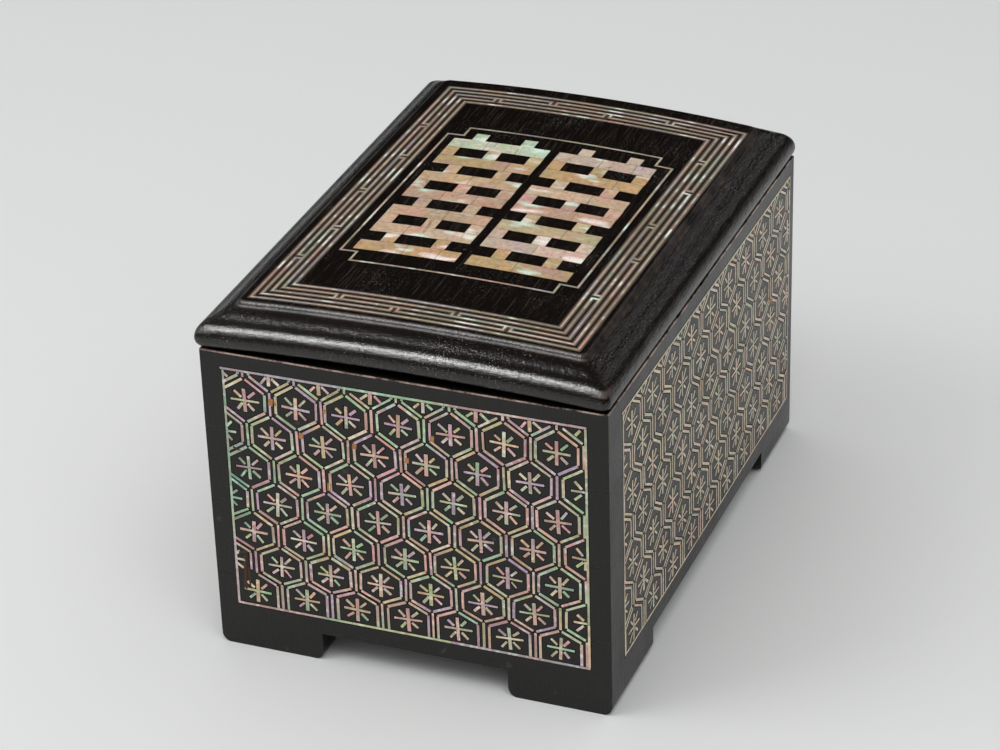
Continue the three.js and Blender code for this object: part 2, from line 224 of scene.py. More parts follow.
hollow = [face for face in walls.faces if in_hollow(face)]
bmesh.ops.delete(walls, geom=hollow, context="FACES")
raised = bmesh.ops.extrude_face_region(walls, geom=list(walls.faces))
for vert in new_verts(raised):
    vert.co.z = WALL_TOP
feet = [face for face in walls.faces if face.calc_center_median().z < 2 * SOFFIT_FRONT]
feet = [face for face in feet if abs(face.normal.z) > 0.5 and not over_cutout(face)]
lowered = bmesh.ops.extrude_face_region(walls, geom=feet)
for vert in new_verts(lowered):
    vert.co.z = 0.0
bmesh.ops.recalc_face_normals(walls, faces=walls.faces)
walls.normal_update()


def meets(value, wanted):
    """Whether a coordinate is where it is wanted, within a tenth of a millimetre."""
    return abs(value - wanted) < 0.1 * MM


def sharp_edges(mesh_work):
    """The edges that lie between two faces at an angle."""
    return [edge for edge in mesh_work.edges if len(edge.link_faces) == 2 and edge.calc_face_angle() > 0.5]


def at_corner(edge):
    """One of the four upright outer corners."""
    return all(
        meets(abs(vert.co.x), HALF_WIDTH) and meets(abs(vert.co.y), HALF_DEPTH) for vert in edge.verts
    )


def on_ground(edge):
    """An edge of a foot's underside."""
    return all(vert.co.z < 0.1 * MM for vert in edge.verts)


def beside_cutout(edge):
    """An edge in the plane in which a cut-out ends and a foot begins."""
    a, b = (vert.co for vert in edge.verts)
    beside_front = any(meets(a.x, x) and meets(b.x, x) for x in FRONT_CUTOUT)
    beside_side = any(meets(a.y, y) and meets(b.y, y) for y in SIDE_CUTOUT)
    return beside_front or beside_side


def at_end_of_foot(edge):
    """A lower edge of a foot, beside a cut-out or along a side of the box."""
    outside = all(meets(abs(vert.co.x), HALF_WIDTH) for vert in edge.verts)
    return on_ground(edge) and (outside or beside_cutout(edge))


def along_front(edge):
    """A lower edge of a foot along the front or the back of the box."""
    return on_ground(edge) and all(meets(abs(vert.co.y), HALF_DEPTH) for vert in edge.verts)


def under_soffit(edge):
    """An edge at the top of a cut-out where a foot begins."""
    a, b = (vert.co for vert in edge.verts)
    level = 5 * MM < a.z < 2 * SOFFIT_FRONT and abs(a.z - b.z) < 0.01 * MM
    return level and beside_cutout(edge)


for wanted, radius, segments in (
    (under_soffit, CUTOUT_ROUND, 4), (at_end_of_foot, FOOT_ROUND, 5), (along_front, UNDER_ROUND, 2),
    (at_corner, CORNER_ROUND, 3),
):
    bmesh.ops.bevel(
        walls, geom=[edge for edge in sharp_edges(walls) if wanted(edge)], offset=radius,
        offset_type="OFFSET", affect="EDGES", segments=segments, profile=0.5, material=-1,
        clamp_overlap=True,
    )
    walls.normal_update()
bmesh.ops.recalc_face_normals(walls, faces=walls.faces)

# Black lacquer over cloth over wood, brushed on and polished: nearly black with a brown cast. It gives
# the eye a soft mirror broken by the cloth's weave, hairline cracks where the finger joints move
# under it, and paler brown where the top edge is worn.
LACQUER_COLOUR = "#0b0908"
LACQUER_WARM = "#14100d"
WORN_EDGE_COLOUR = "#b39a8f"
CRACK_COLOUR = "#050404"
SCUFF_COLOUR = "#4c4a44"
THREAD_SPACING = 1.1            # mm; really 0.9, drawn a little coarser so that it shows
CRACK_HALF_WIDTH = 0.16         # mm
CRACK_SWAY = 1.2                # mm to either side
JOINT_REACH = 15.0              # mm in from a corner to which a finger joint's cracks run
JOINT_LEVELS = (20.0, 125.0)    # mm
ROW_HEIGHT = 136.4 / FINGER_ROWS  # mm
WORN_FROM = 135.75              # mm; the height above which the outer top edge is worn
OUTER_FACE = 0.5                # mm within which a place counts as on the outer face
UPRIGHT_CRACKS = [
    # axis along the wall, place on it, from and up to what height, mm
    ("x", 70.5, 129.6, 137.0), ("y", 111.5, 13.0, 37.0), ("y", -42.5, 16.2, 18.4),
]


def millimetres(tree):
    """Object coordinates in millimetres, together and as x, y and z."""
    place = add(tree, "TexCoord", {}).outputs["Object"]
    scaled = add(tree, "VectorMath", {0: place, 1: (1000.0, 1000.0, 1000.0)}, operation="MULTIPLY")
    parts = add(tree, "SeparateXYZ", {0: scaled}).outputs
    return scaled, parts[0], parts[1], parts[2]


lacquer, tree = new_material("black lacquer over cloth")
place, x, y, z = millimetres(tree)
aside = add(tree, "VectorMath", {0: place}, operation="ABSOLUTE")
x_aside, y_aside, _ = add(tree, "SeparateXYZ", {0: aside}).outputs
cloud = add(tree, "TexNoise", {"Vector": place, "Scale": 0.03, "Detail": 5.0, "Roughness": 0.6})
colour = add(tree, "Mix", {
    "Factor": cloud, 6: linear(LACQUER_COLOUR), 7: linear(LACQUER_WARM),
}, data_type="RGBA").outputs[2]

# Finger joints show as level cracks within a board's thickness of each corner
wander = add(tree, "TexNoise", {"Vector": place, "Scale": 0.12, "Detail": 3.0})
sway = add(tree, "MapRange", {"Value": wander, "To Min": -CRACK_SWAY, "To Max": CRACK_SWAY})
wavy = add(tree, "Math", {0: z, 1: sway}, operation="ADD")
off_joint = add(tree, "Math", {0: wavy, 1: ROW_HEIGHT / 2}, operation="PINGPONG")
crack = add(tree, "MapRange", {
    "Value": off_joint, "From Min": CRACK_HALF_WIDTH, "From Max": 2 * CRACK_HALF_WIDTH,
    "To Min": 1.0, "To Max": 0.0,
})
by_end_x = add(tree, "Math", {0: x_aside, 1: HALF_WIDTH / MM - JOINT_REACH}, operation="GREATER_THAN")
by_end_y = add(tree, "Math", {0: y_aside, 1: HALF_DEPTH / MM - JOINT_REACH}, operation="GREATER_THAN")
low, high = JOINT_LEVELS
in_rows = add(tree, "Math", {0: z, 1: (high + low) / 2, 2: (high - low) / 2}, operation="COMPARE")
for mask in (by_end_x, by_end_y, in_rows):
    crack = add(tree, "Math", {0: crack, 1: mask}, operation="MULTIPLY")

# Upright cracks: above the front's frame line, by the right wall's far foot, and under its panel
for axis, at, low, high in UPRIGHT_CRACKS:
    swayed = add(tree, "Math", {0: x if axis == "x" else y, 1: sway}, operation="SUBTRACT")
    off = add(tree, "Math", {0: swayed, 1: at}, operation="SUBTRACT")
    distance = add(tree, "Math", {0: off}, operation="ABSOLUTE")
    thin = add(tree, "MapRange", {
        "Value": distance, "From Min": CRACK_HALF_WIDTH, "From Max": 2.5 * CRACK_HALF_WIDTH,
        "To Min": 1.0, "To Max": 0.0,
    })
    within = add(tree, "Math", {0: z, 1: (high + low) / 2, 2: (high - low) / 2}, operation="COMPARE")
    thin = add(tree, "Math", {0: thin, 1: within}, operation="MULTIPLY")
    crack = add(tree, "Math", {0: crack, 1: thin}, operation="MAXIMUM")

# Dull scuffs here and there
knocks = add(tree, "TexNoise", {"Vector": place, "Scale": 0.16, "Detail": 5.0, "Roughness": 0.65})
scuffed = add(tree, "MapRange", {"Value": knocks, "From Min": 0.66, "From Max": 0.76, "To Max": 0.55})

# Worn through to the ground along the outer top edge
rub = add(tree, "TexNoise", {"Vector": place, "Scale": 0.09, "Detail": 6.0, "Roughness": 0.7})
worn = add(tree, "MapRange", {"Value": rub, "From Min": 0.42, "From Max": 0.56})
top_band = add(tree, "MapRange", {"Value": z, "From Min": WORN_FROM, "From Max": WORN_FROM + 0.3})
outer_x = add(tree, "Math", {0: x_aside, 1: HALF_WIDTH / MM - OUTER_FACE}, operation="GREATER_THAN")
outer_y = add(tree, "Math", {0: y_aside, 1: HALF_DEPTH / MM - OUTER_FACE}, operation="GREATER_THAN")
outer = add(tree, "Math", {0: outer_x, 1: outer_y}, operation="MAXIMUM")
for mask in (top_band, outer):
    worn = add(tree, "Math", {0: worn, 1: mask}, operation="MULTIPLY")
for mark, mark_colour in ((crack, CRACK_COLOUR), (scuffed, SCUFF_COLOUR), (worn, WORN_EDGE_COLOUR)):
    colour = add(tree, "Mix", {
        "Factor": mark, 6: colour, 7: linear(mark_colour),
    }, data_type="RGBA").outputs[2]

# The cloth's weave, more in some patches than in others, under a fine grain and upright folds
turns = add(tree, "VectorMath", {0: place, 1: (math.tau / THREAD_SPACING,) * 3}, operation="MULTIPLY")
threads = add(tree, "VectorMath", {0: turns}, operation="SINE")
woven = add(tree, "VectorMath", {0: threads, 1: (1.0, 1.0, 1.0)}, operation="DOT_PRODUCT").outputs["Value"]
patches = add(tree, "TexNoise", {"Vector": place, "Scale": 0.05, "Detail": 2.0})
shown = add(tree, "MapRange", {"Value": patches, "From Min": 0.4, "From Max": 0.65})
weave = add(tree, "Math", {0: woven, 1: shown}, operation="MULTIPLY")
grain = add(tree, "TexNoise", {"Vector": place, "Scale": 0.8, "Detail": 4.0})
drawn_up = add(tree, "Mapping", {"Vector": place, "Scale": (0.8, 0.8, 0.16)})
folds = add(tree, "TexNoise", {"Vector": drawn_up, "Scale": 1.0, "Detail": 3.0})
relief = add(tree, "Math", {0: weave, 1: 0.08, 2: grain}, operation="MULTIPLY_ADD")
relief = add(tree, "Math", {0: relief, 1: folds}, operation="ADD")
relief = add(tree, "Math", {0: crack, 1: -0.7, 2: relief}, operation="MULTIPLY_ADD")
surface = add(tree, "Bump", {"Height": relief, "Strength": 0.7, "Distance": 0.00022})
dull = add(tree, "MapRange", {
    "Value": cloud, "From Min": 0.3, "From Max": 0.7, "To Min": 0.26, "To Max": 0.4,
})
lacquer_shader = add(tree, "BsdfPrincipled", {
    "Base Color": colour, "Roughness": dull, "IOR": 1.5, "Specular IOR Level": 0.36, "Normal": surface,
})
add(tree, "OutputMaterial", {"Surface": lacquer_shader})

carcass = new_piece("lacquered_walls", walls, lacquer)
softened = carcass.modifiers.new("softened arrises", "BEVEL")
softened.width = ARRIS
softened.segments = 2
softened.limit_method = "ANGLE"
softened.angle_limit = math.radians(45)
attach(carcass, "root")
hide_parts("front_board", "back_board", "left_board", "right_board")


# ---- Bottom board ----
# A softwood board held inside the four walls, with a thin coat of the same lacquer on it.
# It carries no cloth, so the long grain of the wood still shows through.
BOTTOM_COLOUR = "#1a1512"
BOTTOM_GRAIN_COLOUR = "#33271e"
GRAIN_WIDTH = 2.5               # mm across the grain

# Softwood under one coat of lacquer, dull, with the long grain of the board showing darker and raised
wash, tree = new_material("thin lacquer on softwood")
place, *_ = millimetres(tree)
along_grain = add(tree, "Mapping", {
    "Vector": place, "Scale": (1 / GRAIN_WIDTH, 0.04 / GRAIN_WIDTH, 1 / GRAIN_WIDTH),
})
figure = add(tree, "TexNoise", {"Vector": along_grain, "Scale": 1.0, "Detail": 4.0})
colour = add(tree, "Mix", {
    "Factor": figure, 6: linear(BOTTOM_COLOUR), 7: linear(BOTTOM_GRAIN_COLOUR),
}, data_type="RGBA").outputs[2]
ridges = add(tree, "Bump", {"Height": figure, "Strength": 0.4, "Distance": 0.0002})
wash_shader = add(tree, "BsdfPrincipled", {
    "Base Color": colour, "Roughness": 0.55, "Normal": ridges,
})
add(tree, "OutputMaterial", {"Surface": wash_shader})
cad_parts["bottom_board"].data.materials.clear()
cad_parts["bottom_board"].data.materials.append(wash)


# ---- Frame lines of the four walls ----
# Each wall's panel is framed by one narrow line of pearl shell, laid in lengths of a few centimetres
# end to end and set into the lacquer. Ground flush, it stands a hair proud since the lacquer sank.
PROUD = 0.05                    # mm above the lacquer
LET_IN = 0.35                   # mm below it
GLUE_RIM = 0.34                 # mm of dark glue showing on each side of a strip
GLUE_PROUD = 0.015
SET_TILT = 1.6                  # degrees by which a strip may be set askew across its width
SET_PLAY = 0.012                # mm by which it may be set too deep or too high
SHORTEST = 0.7                  # mm; anything shorter is left out
LEAN = 0.7                      # mm by which the left line leans in at its top
LINE_WIDTH = 1.0
LINE_LENGTHS = (13, 34)
LINE_JOINT = 0.12
UPRIGHT_SHARE = 0.65            # of the front's upright strips have colours of their own
CHANGING_SHARE = 0.45           # of all strips run from one colour to another
FRONT_PANEL = {"left": -76.0, "right": 75.8, "low": 20.6, "high": 129.3}
SIDE_PANEL = {"left": -105.0, "right": 115.4, "low": 18.9, "high": 128.8}
WALL_FACES = {
    # wall: (direction along it, direction out of it, distance of its face from the middle, its panel)
    "front": (Vector((1, 0, 0)), Vector((0, -1, 0)), 121.0, FRONT_PANEL),
    "back": (Vector((1, 0, 0)), Vector((0, 1, 0)), 121.0, FRONT_PANEL),
    "left": (Vector((0, 1, 0)), Vector((-1, 0, 0)), 85.0, SIDE_PANEL),
    "right": (Vector((0, 1, 0)), Vector((1, 0, 0)), 85.0, SIDE_PANEL),
}
# Colours that the shell shows, from strip to strip, in the order in which they run into each other
FRONT_COLOURS = [
    "#e6a09c", "#e0a68a", "#dcb686", "#cdbc84", "#b4c488", "#9cc696", "#b8cca8", "#e0ceb0",
    "#e0b6ba", "#c898c4", "#de94a8", "#e8aca0", "#dcbc98", "#c8c8a8", "#a8ccb0", "#c79cb8",
]
UPRIGHT_COLOURS = ["#de9a9a", "#cc96b4", "#dfa698", "#cda0c2", "#dab6a2", "#d48e94", "#b4c0a0"]
TEAL_COLOURS = ["#5f9a80", "#74ab90", "#8ab8a0", "#8f9f94", "#a8b8a0", "#7fae86"]
GREEN_COLOURS = ["#9ec48c", "#b4c890", "#8fc0a0", "#c6c494", "#a8d0a0"]
PINK_COLOURS = ["#cf9c98", "#d8aca0", "#c08ea6", "#d4b29a"]
VIOLET_COLOURS = ["#a892b8", "#b79ab4", "#9a98b4", "#c4a4b0", "#a8a4b6"]
FRONT_REGIONS = [
    # left, right, low and high of a region of the front, mm, and its shell's colours
    ((-80, -74.5, 62, 118), TEAL_COLOURS), ((-75, -69, 55, 108), TEAL_COLOURS),
    ((-80, -74.5, 18, 62), VIOLET_COLOURS), ((-80, -74.5, 118, 131), VIOLET_COLOURS),
    ((-76, -36, 18, 22), PINK_COLOURS), ((-36, 12, 18, 22), GREEN_COLOURS),
    ((12, 80, 18, 22), VIOLET_COLOURS), ((-76, -34, 127, 131), VIOLET_COLOURS),
    ((-34, 26, 127, 131), GREEN_COLOURS), ((26, 80, 127, 131), PINK_COLOURS),
]
SIDE_COLOURS = [
    "#e4c6aa", "#dcc4a2", "#d6c8a0", "#ccc6a6", "#c8c2a6", "#d8c4aa", "#e6c0ac", "#eaba9c",
    "#dcc2b2", "#d2b8b0", "#e2cca4", "#d8c8a2",
]


def shell_colour(palette, along, height, chance):
    """A colour of the palette: neighbours tend to be alike, and no two are the same shade. Plates of
    a bar share one tone and differ less."""
    drift = noise(Vector((along * 0.025, height * 0.025, len(palette)))) * 0.9
    step = int((drift + chance.gauss(0.5, 0.26)) * len(palette)) % len(palette)
    shade = chance.uniform(0.78, 1.0) if len(palette) == 1 else chance.uniform(0.56, 1.0)
    return tuple(min(part * shade, 1.0) for part in linear(palette[step])[:3]) + (1.0,)


def colours_here(wall, along, height, palette):
    """The palette at a place on a wall: some regions of the front have colours of their own."""
    for (left, right, low, high), colours in FRONT_REGIONS:
        if wall == "front" and left < along < right and low < height < high:
            return colours
    return palette


def tint_strip(mesh_work, verts, start_colour, end_colour, start, direction):
    """Colours a strip's faces, running from one colour at its start to another at its end."""
    layer = mesh_work.loops.layers.float_color.get("shell_colour")
    for face in {face for vert in verts for face in vert.link_faces}:
        for loop in face.loops:
            at_start = (loop.vert.co - start).dot(direction) < 0
            loop[layer] = start_colour if at_start else end_colour


def lay_block(mesh_work, wall, start, end, width, proud, chance):
    """Lays a straight block in a wall's face, between two points given along and up, in mm."""
    direction_along, out, face_distance, _ = WALL_FACES[wall]
    run = Vector(end) - Vector(start)
    along = (direction_along * run.x + Vector((0, 0, 1)) * run.y).normalized()
    tilt = math.radians(chance.uniform(-SET_TILT, SET_TILT))
    turned_out = (Matrix.Rotation(tilt, 3, along) @ out).normalized()
    across = turned_out.cross(along)
    middle = (Vector(start) + Vector(end)) / 2
    depth = proud + LET_IN
    centre = direction_along * middle.x + Vector((0, 0, middle.y))
    centre += out * (face_distance + proud + chance.uniform(-SET_PLAY, SET_PLAY) - depth / 2)
    turn = Matrix((along, across, turned_out)).transposed().to_4x4()
    size = Matrix.Diagonal((run.length * MM, width * MM, depth * MM, 1))
    placed = bmesh.ops.create_cube(mesh_work, size=1, matrix=Matrix.Translation(centre * MM) @ turn @ size)
    return placed["verts"], centre * MM, along


def lay_strip(mesh_work, wall, start, end, width, palette, chance):
    """Lays one straight strip of shell on a wall, and the dark glue that rims it."""
    start, end = Vector(start), Vector(end)
    if (end - start).length < SHORTEST:
        return
    verts, centre, along = lay_block(mesh_work, wall, start, end, width, PROUD, chance)
    middle = (start + end) / 2
    upright = abs(end.x - start.x) < 0.2 * abs(end.y - start.y)
    if palette is FRONT_COLOURS and upright and chance.random() < UPRIGHT_SHARE:
        palette = UPRIGHT_COLOURS
    palette = colours_here(wall, middle.x, middle.y, palette)
    first = shell_colour(palette, middle.x, middle.y, chance)
    changes = chance.random() < CHANGING_SHARE
    second = shell_colour(palette, middle.x, middle.y, chance) if changes else first
    tint_strip(mesh_work, verts, first, second, centre, along)
    rim = (end - start).normalized() * GLUE_RIM
    rimmed = width + 2 * GLUE_RIM
    glued, _, _ = lay_block(mesh_work, wall, start - rim, end + rim, rimmed, GLUE_PROUD, chance)
    for face in {face for vert in glued for face in vert.link_faces}:
        face.material_index = 1


def new_inlay():
    """A mesh to lay shell in, with its colours as an attribute."""
    mesh_work = bmesh.new()
    mesh_work.loops.layers.float_color.new("shell_colour")
    return mesh_work


def lay_line(mesh_work, wall, start, end, width, palette, chance):
    """Lays a long line of shell on a wall as lengths of a few centimetres, end to end."""
    start, end = Vector(start), Vector(end)
    run = (end - start).length
    done = 0.0
    while done < run - 1:
        length = min(chance.uniform(*LINE_LENGTHS), run - done)
        a = start.lerp(end, done / run)
        b = start.lerp(end, (done + length - LINE_JOINT) / run)
        lay_strip(mesh_work, wall, a, b, width * chance.uniform(0.92, 1.06), palette, chance)
        done += length


# Pearl shell ground flat and polished: thin strips whose layers give each its own pink, green or
# cream, which drifts within a few millimetres. Glints are painted highlights: pale patches in the
# colour, drawn out one way. Broad plates have hairline cracks across them.
DRIFT_COLOURS = ["#efb0b0", "#ecd2a8", "#b4dcae", "#d8bcdc"]
PAINTED_GLINT_COLOURS = ("#fff2ee", "#dcf6e4")
HAIRLINE_COLOUR = "#5c4a3e"
CLOUD_SCALE = 0.5               # clouds to the millimetre
HAIRLINE_STRETCH = (0.22, 0.03, 0.03)


def pearl(name, drift, drift_strength, roughness, painted_glint_stretch, painted_glint_strength, hairlines):
    """The shell's material: its strip's own colour, drifting, with painted glints, under a polished
    surface.
    """
    material, tree = new_material(name)
    place, *_ = millimetres(tree)
    own = add(tree, "Attribute", {}, attribute_name="shell_colour").outputs["Color"]
    flow = add(tree, "TexNoise", {
        "Vector": place, "Scale": 1 / drift, "Detail": 2.0, "Distortion": 0.8,
    })
    hues = add(tree, "ValToRGB", {"Fac": flow})
    ramp = hues.color_ramp
    for i, hex_colour in enumerate(DRIFT_COLOURS):
        stop = 0.32 + 0.12 * i
        mark = ramp.elements[i] if i < 2 else ramp.elements.new(stop)
        mark.position = stop
        mark.color = linear(hex_colour)
    drifting = add(tree, "Mix", {"Factor": drift_strength, 6: own, 7: hues}, data_type="RGBA").outputs[2]
    clouded = add(tree, "TexNoise", {"Vector": place, "Scale": CLOUD_SCALE, "Detail": 2.0})
    light_and_dark = add(tree, "MapRange", {
        "Value": clouded, "From Min": 0.3, "From Max": 0.7, "To Min": 0.74, "To Max": 1.08,
    })
    shaded = add(tree, "VectorMath", {0: drifting, 1: light_and_dark}, operation="MULTIPLY")
    # Painted highlights: pale glint patches mixed into the shell's colour
    drawn_out = add(tree, "Mapping", {"Vector": place, "Scale": painted_glint_stretch})
    patches = add(tree, "TexNoise", {"Vector": drawn_out, "Scale": 1.0, "Detail": 2.0})
    painted_glint = add(tree, "MapRange", {
        "Value": patches, "From Min": 0.56, "From Max": 0.7, "To Max": painted_glint_strength,
    })
    which = add(tree, "MapRange", {"Value": flow, "From Min": 0.45, "From Max": 0.55})
    painted_glint_colour = add(tree, "Mix", {
        "Factor": which, 6: linear(PAINTED_GLINT_COLOURS[0]), 7: linear(PAINTED_GLINT_COLOURS[1]),
    }, data_type="RGBA").outputs[2]
    colour = add(tree, "Mix", {"Factor": painted_glint, 6: shaded, 7: painted_glint_colour}, data_type="RGBA").outputs[2]
    if hairlines:
        crosswise = add(tree, "Mapping", {"Vector": place, "Scale": HAIRLINE_STRETCH})
        levels = add(tree, "TexNoise", {"Vector": crosswise, "Scale": 1.0, "Detail": 1.0})
        off_level = add(tree, "Math", {0: levels, 1: 0.05}, operation="PINGPONG")
        line = add(tree, "MapRange", {
            "Value": off_level, "From Min": 0.0, "From Max": 0.004, "To Min": 0.75, "To Max": 0.0,
        })
        colour = add(tree, "Mix", {
            "Factor": line, 6: colour, 7: linear(HAIRLINE_COLOUR),
        }, data_type="RGBA").outputs[2]
    ripple = add(tree, "Bump", {"Height": flow, "Strength": 0.4, "Distance": 0.0004})
    shader = add(tree, "BsdfPrincipled", {
        "Base Color": colour, "Roughness": roughness, "IOR": 1.6, "Normal": ripple,
    })
    add(tree, "OutputMaterial", {"Surface": shader})
    return material


def plain(name, hex_colour, roughness, specular):
    """A material of one even colour."""
    material, tree = new_material(name)
    shader = add(tree, "BsdfPrincipled", {
        "Base Color": linear(hex_colour), "Roughness": roughness, "Specular IOR Level": specular,
    })
    add(tree, "OutputMaterial", {"Surface": shader})
    return material


# Hide glue darkened with lamp black, which set dull round each strip
glue = plain("dark hide glue", "#080605", 0.75, 0.06)
wall_shell = pearl("pearl shell strips", 4.0, 0.22, 0.32, (0.4, 0.4, 0.4), 0.5, False)
chance = random.Random(11)
for wall, (_, _, _, panel) in WALL_FACES.items():
    line = new_inlay()
    left, right, low, high = panel["left"], panel["right"], panel["low"], panel["high"]
    half = LINE_WIDTH / 2
    line_colours = FRONT_COLOURS if panel is FRONT_PANEL else SIDE_COLOURS
    for start, end in (
        ((left - half, low), (right + half, low)), ((left - half, high), (right + half, high)),
        ((left, low + half), (left + LEAN, high - half)), ((right, low + half), (right, high - half)),
    ):
        lay_line(line, wall, start, end, LINE_WIDTH, line_colours, chance)
    line_piece = new_piece(f"{wall}_frame_line", line, wall_shell, glue)
    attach(line_piece, "root")
    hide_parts(f"{wall}_panel_frame")


# ---- Stars and hexagons of the four walls ----
# Inside each frame line the panel is filled with six-sided cells in staggered rows, each laid from
# single strips of shell cut to length: six sides, a bar shared with the next cell, and an
# eight-rayed star. They are set by hand, so no two are quite alike.
FRONT_ROWS = [116.3, 101.0, 85.7, 70.7, 55.9, 41.5, 27.6]
SIDE_ROWS = [119.0, 104.0, 87.9, 72.6, 56.6, 41.3, 26.0]
STAR_FIELDS = {
    # wall: row heights, pitch along, a star's place in odd rows and in even rows, palette
    "front": (FRONT_ROWS, 21.8, -66.7, -55.8, FRONT_COLOURS),
    "back": (FRONT_ROWS, 21.8, -66.7, -55.8, FRONT_COLOURS),
    "left": (SIDE_ROWS, 24.3, -94.4, -82.2, SIDE_COLOURS),
    "right": (SIDE_ROWS, 24.3, -94.4, -82.2, SIDE_COLOURS),
}
TOP_RISE = 15.5                 # mm from the first whole row up to the row that the line cuts off
TOP_STAR_DROP = 2.4             # mm by which that row's stars are set low
STAR_REACH = 0.287              # of the pitch
CELL_SIDE = 0.397               # half the cell's width between its upright sides, as a part of the pitch
SIDE_HALF_HEIGHT = 3.9
BEHIND_LINE = 20                # mm; the last row's sides run on past the frame line, and are cut there
STAR_TILT = 3                   # degrees either way
RAY_ANGLE = 47                  # degrees up from level, give or take RAY_SWAY
RAY_SWAY = 5
RAY_WIDTH = 1.15
STAR_PLAY = 0.35                # mm by which a cell may be set off its place along the wall
SET_OFF = 0.16                  # mm by which a strip's end may be set off its place
LOST = 0.5                      # of the strips in the damaged place
APEX_TO_STAR = 5.65             # from a cell's top corner down to the level of the next row's stars
STRIP_WIDTH = 1.15


def in_damage(along, height):
    """Whether a place on the front is where the shell has flaked away, low down by the left line."""
    return -75.5 < along < -69.5 and 27 < height < 46


def clipped(start, end, panel):
    """The part of a strip that lies inside a panel's frame line, or nothing."""
    inset = LINE_WIDTH / 2 + 0.15
    limits = [
        (panel["left"] + inset, panel["right"] - inset), (panel["low"] + inset, panel["high"] - inset),
    ]
    first, last = 0.0, 1.0
    for axis, (low, high) in enumerate(limits):
        change = end[axis] - start[axis]
        if abs(change) < 1e-6:
            if not low <= start[axis] <= high:
                return None
            continue
        enter, leave = sorted(((low - start[axis]) / change, (high - start[axis]) / change))
        first, last = max(first, enter), min(last, leave)
    if first >= last:
        return None
    a, b = Vector(start), Vector(end)
    return a.lerp(b, first), a.lerp(b, last)


def jittered(point, by, chance):
    """A point moved a little at random."""
    return (point[0] + chance.uniform(-by, by), point[1] + chance.uniform(-by, by))


def cell_strips(x, z, half_pitch, rise, drop):
    """Start, end and width of each strip of the cell about (x, z); rise and drop reach the next rows.
    Cells of the last row have no drop: their sides run down to the frame line."""
    side = 2 * half_pitch * CELL_SIDE
    tall = SIDE_HALF_HEIGHT
    up = rise - APEX_TO_STAR
    strips = []
    for way in (-1, 1):
        foot = z - (tall if drop else BEHIND_LINE)
        strips.append(((x + way * side, foot), (x + way * side, z + tall), STRIP_WIDTH))
        outer, inner = x + way * (side - 0.1), x + way * 0.6
        strips.append(((outer, z + tall + 0.4), (inner, z + up - 0.2), STRIP_WIDTH))
        if drop:
            down = drop - APEX_TO_STAR
            strips.append(((outer, z - tall - 0.4), (inner, z - down + 0.2), STRIP_WIDTH))
    return strips


def shared_bar(x, z, half_pitch, drop):
    """The upright bar between a cell and the next one to its right."""
    low = z - (APEX_TO_STAR - 0.5 if drop else BEHIND_LINE)
    return (x + half_pitch, low), (x + half_pitch, z + APEX_TO_STAR - 0.5), STRIP_WIDTH * 0.95


def star_strips(x, z, reach, chance):
    """Start, end and width of the strips of a star: an upright, a level and four slanting rays."""
    turn = Matrix.Rotation(math.radians(chance.uniform(-STAR_TILT, STAR_TILT)), 2)
    tall = reach * chance.uniform(0.86, 1.0) * 0.88
    level = reach * chance.uniform(0.88, 1.0)
    shapes = [((0, -tall), (0, tall), 1.5), ((-level, 0), (level, 0), 1.0)]
    for quarter in range(4):
        angle = math.radians(RAY_ANGLE + 90 * quarter + chance.uniform(-RAY_SWAY, RAY_SWAY))
        inner = reach * chance.uniform(0.27, 0.35)
        outer = reach * chance.uniform(0.84, 1.02)
        ray = Vector((math.cos(angle), math.sin(angle)))
        shapes.append((ray * inner, ray * outer, RAY_WIDTH))
    middle = Vector((x, z))
    return [(middle + turn @ Vector(a), middle + turn @ Vector(b), width) for a, b, width in shapes]


for wall, (rows, pitch, odd_start, even_start, palette) in STAR_FIELDS.items():
    panel = WALL_FACES[wall][3]
    field = new_inlay()
    chance = random.Random(len(wall) * 7 + len(rows) + int(pitch))
    heights = [rows[0] + TOP_RISE, *rows]
    for row, z in enumerate(heights):
        rise = heights[row - 1] - z if row > 0 else TOP_RISE
        drop = z - heights[row + 1] if row < len(heights) - 1 else None
        start = even_start if row % 2 == 0 else odd_start
        for column in range(-1, 11):
            x = start + pitch * column + chance.uniform(-STAR_PLAY, STAR_PLAY)
            if not panel["left"] - pitch / 2 < x < panel["right"] + pitch / 2:
                continue
            strips = cell_strips(x, z, pitch / 2, rise, drop)
            strips.append(shared_bar(x, z, pitch / 2, drop))
            star_z = z - TOP_STAR_DROP if row == 0 else z
            strips += star_strips(x, star_z, pitch * STAR_REACH, chance)
            for a, b, width in strips:
                lost = wall == "front" and in_damage((a[0] + b[0]) / 2, (a[1] + b[1]) / 2)
                if lost and chance.random() < LOST:
                    continue
                part = clipped(jittered(a, SET_OFF, chance), jittered(b, SET_OFF, chance), panel)
                if part:
                    lay_strip(field, wall, *part, width * chance.uniform(0.86, 1.08), palette, chance)
    field_piece = new_piece(f"{wall}_stars", field, wall_shell, glue)
    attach(field_piece, "root")


